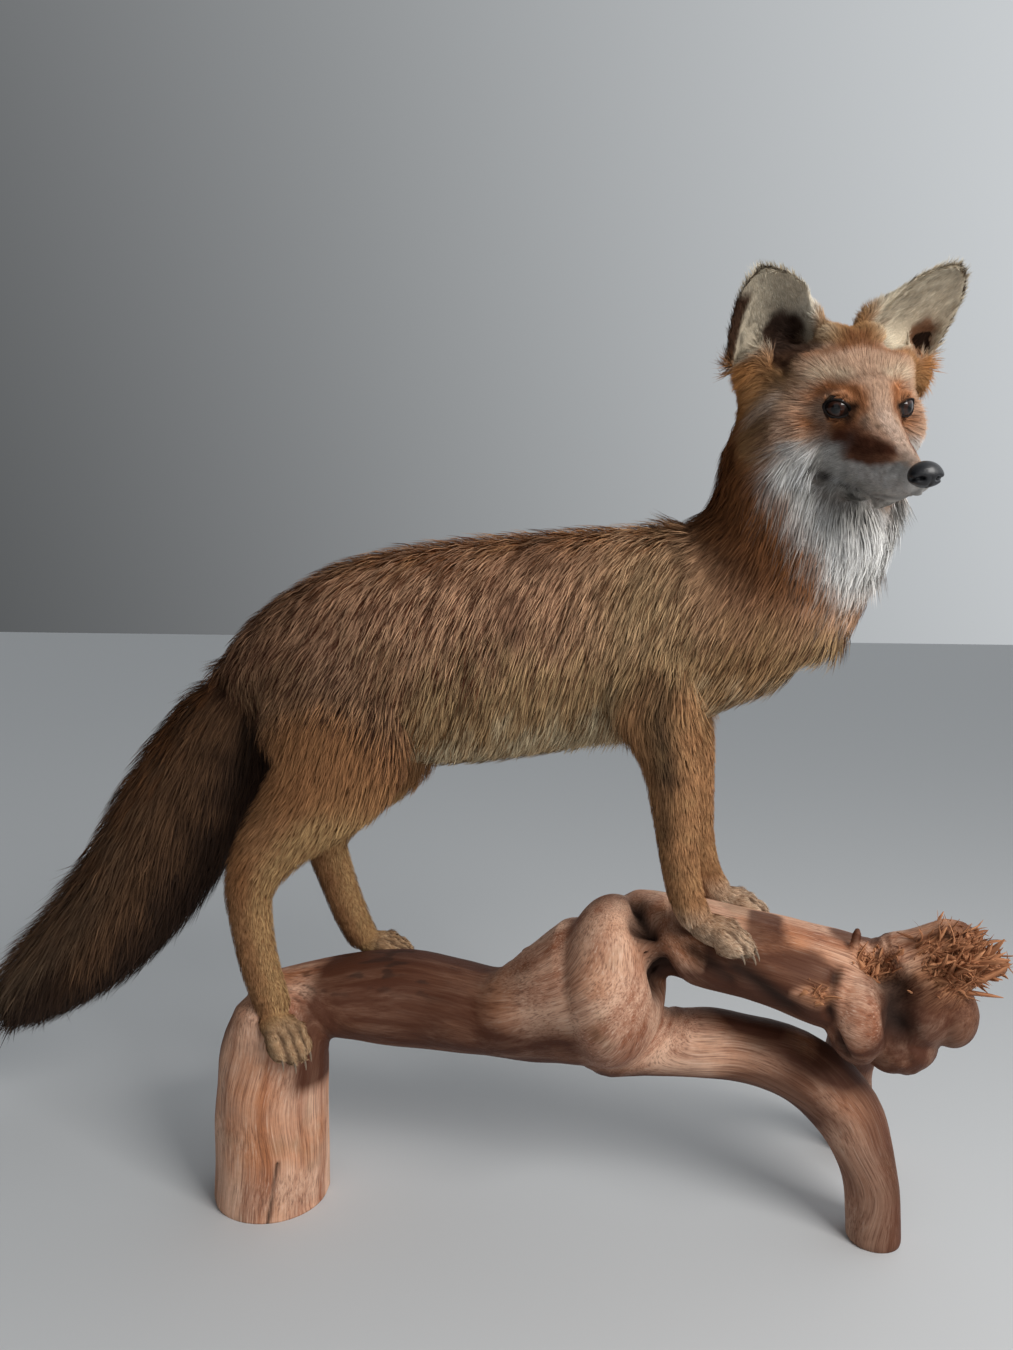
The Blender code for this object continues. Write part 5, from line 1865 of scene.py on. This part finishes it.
@dataclass
class NosePad:
    """The bare nose, with its two nostrils and the groove between them.

    Attributes:
        middle: Its middle, in head millimetres.
        half_sizes: Its half-sizes.
        pit: How deep the nostrils are, as a share of the half-sizes.
    """

    middle: tuple = (81.0, 0.0, -26.0)
    half_sizes: tuple = (8.5, 11.0, 8.8)
    pit: float = 0.42

    def build(self, leather: Material) -> None:
        """A ball whose radius falls in the nostrils, their slits and the groove."""
        shape = ball((0, 0, 0), (1, 1, 1), 56, 84)
        p = unit(shape.points)
        size = np.ones(len(p))
        q = np.column_stack([p[:, 0], np.abs(p[:, 1]), p[:, 2]])
        size += 0.07 * spot(q, unit(np.array((0.6, 0.75, 0.15))), (0.4, 0.35, 0.3))
        size -= self.pit * spot(q, unit(np.array((0.80, 0.50, -0.05))), (0.3, 0.20, 0.17))
        slit = (unit(np.array((0.72, 0.62, -0.08))), unit(np.array((0.25, 0.95, -0.22))))
        size -= 0.22 * stroke(q, slit, 0.11)
        size -= 0.13 * stroke(q, ((0.99, 0, 0.12), (0.86, 0, -0.5), (0.4, 0, -0.9)), 0.07)
        size -= 0.10 * step(-0.35, -0.9, p[:, 2])
        points = p * size[:, None] * self.half_sizes + self.middle
        mesh = mesh_of("nose_pad", outward(Shape(points, shape.faces)).placed(HEAD))
        add_piece("nose_pad", mesh, leather, Slot.NOSE, ("nose",))


@dataclass
class Claws:
    """Four claws on each foot: cones that bend down towards their points.

    Attributes:
        length: Along a claw.
        root: Its half-thickness at the root.
    """

    length: float = 0.0105
    root: float = 0.0016

    def build(self, horn: Material) -> None:
        """The claws' path is root + length (sin(bend s)/bend, 0, -(1 - cos(bend s))/bend)."""
        s = np.linspace(0, 1, 9)
        bend = 1.15
        shapes, alongs = [], []
        for paw in PAWS:
            for reach, across in TOES:
                start = np.array((paw.length + reach - 0.002, across, -0.0055))
                down = -0.25 * s - 0.8 * (1 - np.cos(bend * s)) / bend
                path = start + self.length * np.column_stack([np.sin(bend * s) / bend, 0 * s, down])
                thick = self.root * (1 - s) ** 0.8 + 0.00018
                shape = tube(np.column_stack([path, 0.7 * thick, thick]), 10)
                alongs.append(np.clip(norm(shape.points - start) / self.length, 0, 1))
                shapes.append(outward(shape).placed(paw.place()))
        mesh = mesh_of("claws", joined(shapes))
        mark(mesh, "along", np.concatenate(alongs))
        add_piece("claws", mesh, horn, Slot.CLAW)


# --- the driftwood -----------------------------------------------------------------------------------
KNEE_GRAIN = (*REAR_BOUGH[-3:], *mm(((92, -14, 214, 50, 60), (112, -12, 262, 40, 30))))
CREVICE_TOP = mm(((106, -6, 282), (112, -18, 268), (123, -40, 254)))
CREVICE_FOOT = mm(((120, -36, 256), (134, -43, 236), (134, -32, 210)))
LOG_SCOOP_NEAR = mm(((158, -52, 249), (174, -57, 236), (183, -55, 225)))
LOG_SCOOP_FAR = mm(((190, -58, 237), (208, -58, 222), (226, -52, 206)))
BURL_HOLLOW = mm(((289, -34, 241), (304, -44, 230), (303, -48, 212), (306, -44, 196)))
LOBE_EDGE = mm(((262, -48, 243), (256, -55, 224), (256, -56, 200), (268, -54, 178)))
POST_CRACK = mm(((-179, -89, 0), (-174.5, -88, 25), (-171, -85, 50)))
JUNCTION_GROOVE = mm(((-166, -56, 196), (-150, -62, 186), (-139, -66, 168)))
PEG = mm(((273.5, -26, 234, 5, 4), (275, -26, 250, 4.5, 3.6), (276.5, -25, 262, 3.4, 2.8)))
CUTS = (  # (line, width, depth, and the power and the share of its painted shade)
    (CREVICE_TOP, 0.0045, 0.010, 0.5, 1.0),
    (CREVICE_FOOT, 0.010, 0.016, 0.6, 1.0),
    (LOG_SCOOP_NEAR, 0.0075, 0.004, 1.0, 0.75),
    (LOG_SCOOP_FAR, 0.0095, 0.006, 1.0, 0.9),
    (BURL_HOLLOW, 0.0095, 0.011, 0.7, 1.0),
    (POST_CRACK, 0.0014, 0.003, 1.0, 1.0),
    (JUNCTION_GROOVE, 0.007, 0.007, 1.0, 0.8),
    (LOBE_EDGE, 0.0032, 0.005, 1.0, 0.8),
)
BREAKS = (  # where the wood is torn: (middle, sizes, how much)
    ((0.346, -0.030, 0.244), (0.026, 0.034, 0.020), 1.0),
    ((0.288, -0.030, 0.243), (0.012, 0.012, 0.007), 0.8),
    ((0.247, -0.056, 0.223), (0.009, 0.012, 0.007), 0.7),
    ((-0.146, -0.060, 0.180), (0.010, 0.010, 0.016), 0.6),
)


@dataclass
class Driftwood:
    """The oiled root that the fox stands on.

    Attributes:
        voxel: The grain of its skin.
        flute: How deep the long hollows along the grain are.
        ripple: How deep the small ones are.
        splinters: How many slivers stand on its torn places.
    """

    voxel: float = 0.0022
    flute: float = 0.0024
    ripple: float = 0.0008
    splinters: int = 1100

    def parts(self) -> list[Shape]:
        """The closed shapes that the wood joins."""
        paths = (POST, REAR_BOUGH, FRONT_LOG, LOWER_BRANCH, BACK_ROOT, BACK_STUB, BURL_CROWN, PEG)
        made = [tube(smooth_rows(path), 40) for path in paths]
        made += [ball(middle, half, 24, 40) for middle, half in (KNEE, *BURL_SWELLINGS)]
        return [shape.placed(matrix(MID_BODY)) for shape in made]

    def grain(self, points: Array) -> Array:
        """Coordinates along and across the wood: run along the nearest path, and place round it."""
        rows = []
        paths = (POST, REAR_BOUGH, KNEE_GRAIN, FRONT_LOG, LOWER_BRANCH, BACK_ROOT, BURL_CROWN)
        for k, path in enumerate(paths):
            fine = smooth_rows(path, 6)
            centre = fine[:, :3] + MID_BODY
            along, across, over = path_frame(centre)
            run = run_along(centre) + 0.37 * k
            rows.append(np.column_stack([centre, fine[:, 3:5].mean(1), along, across, over, run]))
        table = np.vstack(rows)
        made = np.empty_like(points)
        for part, out, weight in weigh(points, table[:, :3], table[:, 3], -12.0):
            weight /= weight.sum(1, keepdims=True)
            for axis, low in enumerate((4, 7, 10)):
                value = dot(out, table[None, :, low : low + 3]) + (table[:, 13] if axis == 0 else 0)
                made[part, axis] = np.sum(weight * value, axis=1)
        warp = np.column_stack([0 * points[:, 0], noise(points, 0.045), noise(points, 0.045, 9.0)]) - 0.5
        return made + 0.014 * warp * (0, 1, 1)

    def carve(self, shape: Shape, grain: Array) -> tuple[Array, Array, Array, Array]:
        """Cuts the wood's relief.

        The surface moves along its normal by long and short noise stretched along the grain, less the
        bell curve round each hollow's line.

        Args:
            shape: The joined wood.
            grain: Its grain coordinates.

        Returns:
            The moved points, and how dark (painted shade in the hollows and cracks, and dark flecks), how
            torn, and how stained and shaded each is.
        """
        p = shape.points - MID_BODY
        x, _, z = p.T
        normals = vertex_normals(shape)
        flutes = noise(grain / (0.12, 0.020, 0.020), 1.0) - 0.5
        ripples = noise(grain / (0.060, 0.0050, 0.0050), 1.0, 3.0) - 0.5
        lumps = noise(p, 0.034, 7.0) - 0.5
        knee = spot(p, (0.075, -0.050, 0.215), (0.060, 0.08, 0.065))
        calm = 1 - 0.85 * np.clip(1.2 * knee, 0, 1)
        torn = sum(much * spot(p, middle, sizes) for middle, sizes, much in BREAKS)
        torn = np.clip(torn, 0, 1) * (0.6 + 0.8 * noise(p, 0.006, 2.0))
        out = self.flute * flutes * calm + self.ripple * ripples * calm + 0.003 * lumps
        ragged = noise(grain / (0.030, 0.0045, 0.0045), 1.0, 5.0) - 0.5
        out += 0.011 * torn * ragged - 0.003 * torn
        cuts = [stroke(p, line, width) for line, width, *_ in CUTS]
        out -= sum(depth * cut for (_, _, depth, *_), cut in zip(CUTS, cuts))
        held = step(0.0, 0.003, shape.points[:, 2])
        moved = shape.points + normals * (out * held)[:, None]
        moved[:, 2] = np.maximum(moved[:, 2], 0.0)
        up = normals[:, 2]
        # painted shade: the hollows and cracks go dark along their lines; the flecks on the rear bough's top
        # are its own marks
        dark = np.maximum.reduce([much * cut**power for (*_, power, much), cut in zip(CUTS, cuts)])
        bits = step(0.60, 0.74, noise(grain / (0.012, 0.004, 0.004), 1.0, 11.0)) * step(0.35, 0.8, up)
        bits = 0.6 * bits * step(-0.19, -0.17, x) * step(-0.03, -0.07, x)
        dark = np.clip(np.maximum(dark, bits), 0, 1)
        # painted shade on the faces that look down
        under = step(0.25, -0.75, up)
        cloud = noise(p, 0.030, 14.0)
        # the rear bough's own dark stain, with the fox's painted shadow across it; painted shade under it and
        # under the post's top
        bough = step(-0.175, -0.150, x) * step(0.040, -0.03, x + 0.3 * (z - 0.16)) * step(0.095, 0.115, z)
        branch = step(0.15, 0.19, x) * step(0.190, 0.175, z) * step(0.300, 0.27, x)
        stain_and_shade = bough * (0.86 + 0.3 * under) + 0.95 * under * step(0.09, 0.12, z) * step(-0.17, -0.15, x)
        stain_and_shade += branch * np.clip(0.55 + 0.9 * (cloud - 0.45), 0, 1) * (0.7 + 0.6 * step(-0.2, 0.6, up))
        # painted shade in the crease along the lobe's edge and down the post's left edge
        stain_and_shade += 0.5 * stroke(p, LOBE_EDGE, 0.006) + 0.5 * step(-0.215, -0.245, x + 0.02 * cloud)
        # painted shadow of the hind foot over the top of the post
        stain_and_shade += 0.85 * spot(p, (-0.238, -0.05, 0.160), (0.016, 0.05, 0.030))
        stain_and_shade += 0.7 * step(0.46, 0.62, cloud) * step(0.13, 0.15, x) * step(0.16, 0.19, z)
        end = 0.6 * step(0.275, 0.30, x) * step(0.20, 0.18, z)
        stain_and_shade += 0.5 * spot(p, (0.062, -0.056, 0.165), (0.030, 0.03, 0.020)) + end
        stain_and_shade *= 1 - 0.95 * np.clip(1.4 * spot(p, (0.092, -0.065, 0.205), (0.040, 0.04, 0.050)), 0, 1)
        # painted highlight: the stain is cleared along the top of the lower branch, where a bright reflection
        # lies
        pale = stroke(p, ((0.10, -0.03, 0.160), (0.165, -0.022, 0.158)), 0.027)
        stain_and_shade *= 1 - 0.9 * np.clip(1.3 * pale, 0, 1)
        stain_and_shade *= 1 - 0.8 * spot(p, (0.272, -0.056, 0.222), (0.016, 0.03, 0.030))
        return moved, dark, np.clip(1.6 * torn, 0, 1), np.clip(1.3 * stain_and_shade, 0, 1)

    def slivers(self, shape: Shape, fresh: Array) -> tuple[Shape, Array]:
        """Curled slivers on the torn places.

        Each is root + way s + curl s^2, a flat bar that narrows as (1 - s)^0.6.

        Args:
            shape: The carved wood.
            fresh: How torn it is at each point.

        Returns:
            The slivers, and their grain coordinates.
        """
        rng = np.random.default_rng(SEED)
        a, b, c = (shape.points[shape.faces[:, k]] for k in range(3))
        cross = np.cross(b - a, c - a)
        total = np.cumsum(norm(cross) * fresh[shape.faces].min(1) ** 2)
        face = np.searchsorted(total, rng.random(self.splinters) * total[-1])
        root, out = (a + b + c)[face] / 3, unit(cross[face])
        crown = root[:, 0] > MID_BODY[0] + 0.31
        main = np.where(crown[:, None], (0.55, -0.25, 0.62), (0.30, -0.30, 0.75))
        main = main - 0.9 * out * dot(main, out)[:, None]
        way = unit(unit(main) + 0.20 * out + rng.normal(0, 0.42, (self.splinters, 3)))
        heavy = rng.random(self.splinters) ** 7
        length = (rng.uniform(0.003, 0.008, self.splinters) + 0.010 * heavy) * np.where(crown, 1.0, 0.7)
        curl = unit(rng.normal(0, 1, way.shape) + 0.8 * out) * rng.uniform(0.3, 1.3, self.splinters)[:, None]
        rings, edges = 6, 4
        s = np.linspace(0, 1, rings)[None, :, None]
        path = way[:, None] * s + curl[:, None] * s**2
        centre = (root - 0.0015 * out)[:, None] + length[:, None, None] * path
        flat = unit(np.cross(way, rng.normal(0, 0.5, way.shape) + out))[:, None]
        thick = np.cross(way[:, None], flat)
        broad = (rng.uniform(0.0003, 0.0009, self.splinters) + 0.0028 * heavy)[:, None, None]
        broad = broad * ((1 - s) ** 0.5 + 0.15)
        deep = thick * np.minimum(broad * 0.4, 0.0006)
        corners = [flat * broad + deep, deep - flat * broad]
        corners += [-corner for corner in corners]
        points = np.stack([centre + corner for corner in corners], axis=2)
        last = (rings - 1) * edges
        ends = [(0, 3, 2), (0, 2, 1), (last, last + 1, last + 2), (last, last + 2, last + 3)]
        bar = np.vstack([grid_faces(rings, edges, True), ends])
        faces = np.arange(self.splinters)[:, None, None] * rings * edges + bar
        grain = np.zeros((self.splinters, rings, edges, 3))
        grain[..., 0] = s * 0.02 + root[:, None, :1]
        grain[..., 1:] = rng.random((self.splinters, 1, 1, 2)) + np.arange(edges)[:, None] * 0.001
        shape = Shape(points.reshape(-1, 3), faces.reshape(-1, 3))
        return outward(shape), grain.reshape(-1, 3)

    def build(self, finish: Material) -> None:
        """Joins, cuts and carves the wood, sets its slivers and marks them."""
        shape = skinned(joined(self.parts()), self.voxel, 6)
        shape = cut_flat(shape)
        grain = self.grain(shape.points)
        moved, dark, fresh, stain_and_shade = self.carve(shape, grain)
        shape = Shape(moved, shape.faces)
        slivers, along = self.slivers(shape, fresh)
        for name, made, lines, values in (
            ("driftwood_root", shape, grain, (dark, fresh, stain_and_shade)),
            ("torn_fibres", slivers, along, (0, 1, 0)),
        ):
            mesh = mesh_of(name, made)
            mark(mesh, "grain", lines)
            for key, value in zip(WOOD_MARKS, values):
                mark(mesh, key, np.broadcast_to(value, len(made.points)))
            add_piece(name, mesh, finish, Slot.WOOD, WOOD_NODES if name == "driftwood_root" else ())


def cut_flat(shape: Shape) -> Shape:
    """The shape cut off at the floor and closed there."""
    mesh = mesh_of("cut_work", shape)
    work = bmesh.new()
    work.from_mesh(mesh)
    every = [*work.verts, *work.edges, *work.faces]
    made = bmesh.ops.bisect_plane(
        work, geom=every, plane_co=(0, 0, 0), plane_no=(0, 0, 1), dist=1e-6, clear_inner=True
    )
    rims = [edge for edge in made["geom_cut"] if isinstance(edge, bmesh.types.BMEdge)]
    caps = bmesh.ops.edgeloop_fill(work, edges=rims)["faces"]
    bmesh.ops.recalc_face_normals(work, faces=work.faces)
    bmesh.ops.triangulate(work, faces=caps)
    work.to_mesh(mesh)
    work.free()
    return shape_of(mesh)


# --- the stage ---------------------------------------------------------------------------------------
@dataclass
class Studio:
    """The pale floor, the soft lights and the camera.

    Attributes:
        camera_at: The camera's place.
        camera_turn: Its turn, in degrees.
        lens: Its focal length in millimetres, for a long side of 36.
    """

    camera_at: tuple = (0.275, -0.8219, 0.519)
    camera_turn: tuple = (85.0, 0.0, 14.0)
    lens: float = 27.07

    def light(self, name: str, at: tuple, towards: tuple, size: float, power: float, colour: tuple) -> None:
        """A square soft light."""
        data = bpy.data.lights.new(name, "AREA")
        data.shape, data.size, data.energy, data.color = "SQUARE", size, power, colour
        lamp = linked(name, data)
        lamp.location = at
        lamp.rotation_euler = (Vector(towards) - Vector(at)).to_track_quat("-Z", "Y").to_euler()

    def world(self) -> bpy.types.World:
        """A pale grey room that is brighter on the right and above than on the left."""
        made = bpy.data.worlds.new("studio")
        made.use_nodes = True
        n = Nodes(made.node_tree)
        way = n.add("TexCoord").outputs["Generated"]
        bright = n.add("VectorMath", {0: way, 1: (0.9, 0.35, 0.3)}, operation="DOT_PRODUCT").outputs["Value"]
        shade = n.math("MULTIPLY", n.math("POWER", n.range(bright, -1.0, 1.0), 2.0), 0.97)
        background = made.node_tree.nodes["Background"]
        background.inputs["Color"].default_value = (0.93, 0.97, 1.0, 1)
        n.put(shade, background.inputs["Strength"])
        return made

    def build(self) -> None:
        """Sets the floor, the world, the lights and the camera."""
        corners = np.array([(-9, -9, 0), (9, -9, 0), (9, 9, 0), (-9, 9, 0)], float)
        floor = linked("floor", mesh_of("floor", Shape(corners, np.array([(0, 1, 2), (0, 2, 3)]))))
        pale = bpy.data.materials.new("pale floor")
        pale.use_nodes = True
        shader = pale.node_tree.nodes["Principled BSDF"]
        shader.inputs["Base Color"].default_value = (0.62, 0.63, 0.64, 1)
        shader.inputs["Roughness"].default_value = 0.8
        floor.data.materials.append(pale)
        floor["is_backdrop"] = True
        bpy.context.scene.world = self.world()
        bpy.context.scene.view_settings.view_transform = "Standard"
        self.light("key", (1.2, -0.85, 1.2), (0.15, 0, 0.4), size=0.7, power=20, colour=(1.0, 0.98, 0.95))
        self.light("fill", (-0.2, -2.2, 1.0), (0.05, 0, 0.4), size=1.8, power=4, colour=(0.95, 0.97, 1.0))
        data = bpy.data.cameras.new("camera")
        data.lens, data.sensor_fit, data.sensor_height = self.lens, "VERTICAL", 36.0
        data.clip_start, data.clip_end = 0.02, 60.0
        camera = linked("camera", data)
        camera.location = self.camera_at
        camera.rotation_euler = tuple(math.radians(angle) for angle in self.camera_turn)
        bpy.context.scene.camera = camera


COATS = (  # (name, region, blades, width, joints, clump, stray, streaks)
    Coat("coat_face", Region.FACE, 64000, 0.00034, 2, 0.0028, 0.07, 0.4),
    Coat("coat_head", Region.HEAD, 50000, 0.00050, 2, 0.0045, 0.08, 0.5),
    Coat("coat_neck", Region.NECK, 39000, 0.0010, 3, 0.0075, 0.08, 0.5),
    Coat("coat_trunk_front", Region.TRUNK_FRONT, 39000, 0.0010, 3, 0.0070, 0.07, 0.8),
    Coat("coat_trunk_rear", Region.TRUNK_REAR, 39000, 0.0010, 3, 0.0070, 0.07, 0.9),
    Coat("coat_tail", Region.TAIL, 39000, 0.0012, 3, 0.0095, 0.08, 0.6),
    Coat("coat_forelegs", Region.FORELEGS, 30000, 0.0007, 2, 0.0045, 0.07, 0.4),
    Coat("coat_hind_legs", Region.HIND_LEGS, 32000, 0.0007, 2, 0.0045, 0.07, 0.5),
    Coat("coat_paws", Region.PAWS, 18000, 0.0005, 2, 0.0035, 0.09, 0.5),
    Coat("coat_ears", Region.EARS, 30000, 0.0005, 2, 0.0035, 0.09, 0.4),
)


def main() -> None:
    """Builds the fox, the wood and the studio, and reports each piece."""
    logging.basicConfig(level=logging.INFO, format="%(message)s")
    patchy_group()
    banded_group()
    Studio().build()
    Driftwood().build(DriftwoodFinish("oiled driftwood", roughness=0.56, specular=0.16).build())
    guides = body_guides()
    skin = Skin()
    skin.build(guides, SkinFinish("underfur", roughness=0.85, specular=0.05).build())
    hair = HairFinish("guard hair", roughness=0.68, specular=0.07).build()
    read = skin.read(guides)
    for coat in COATS:
        coat.build(skin, read, guides, hair)
    leather = LeatherFinish("lid leather", roughness=0.75, specular=0.12, colour=(0.010, 0.007, 0.006))
    Eyes().build(EyeFinish("eye glass", roughness=0.07, specular=0.4).build(), leather.build())
    NosePad().build(LeatherFinish("wet nose", roughness=0.34, specular=0.35, coat=0.2).build())
    Claws().build(HornFinish("claw horn", roughness=0.35).build())
    sizes = [[list(corner) for corner in box] for box in (CAD_BOX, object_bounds())]
    LOG.info("solids and model: %s", sizes)


if __name__ == "__main__":
    main()
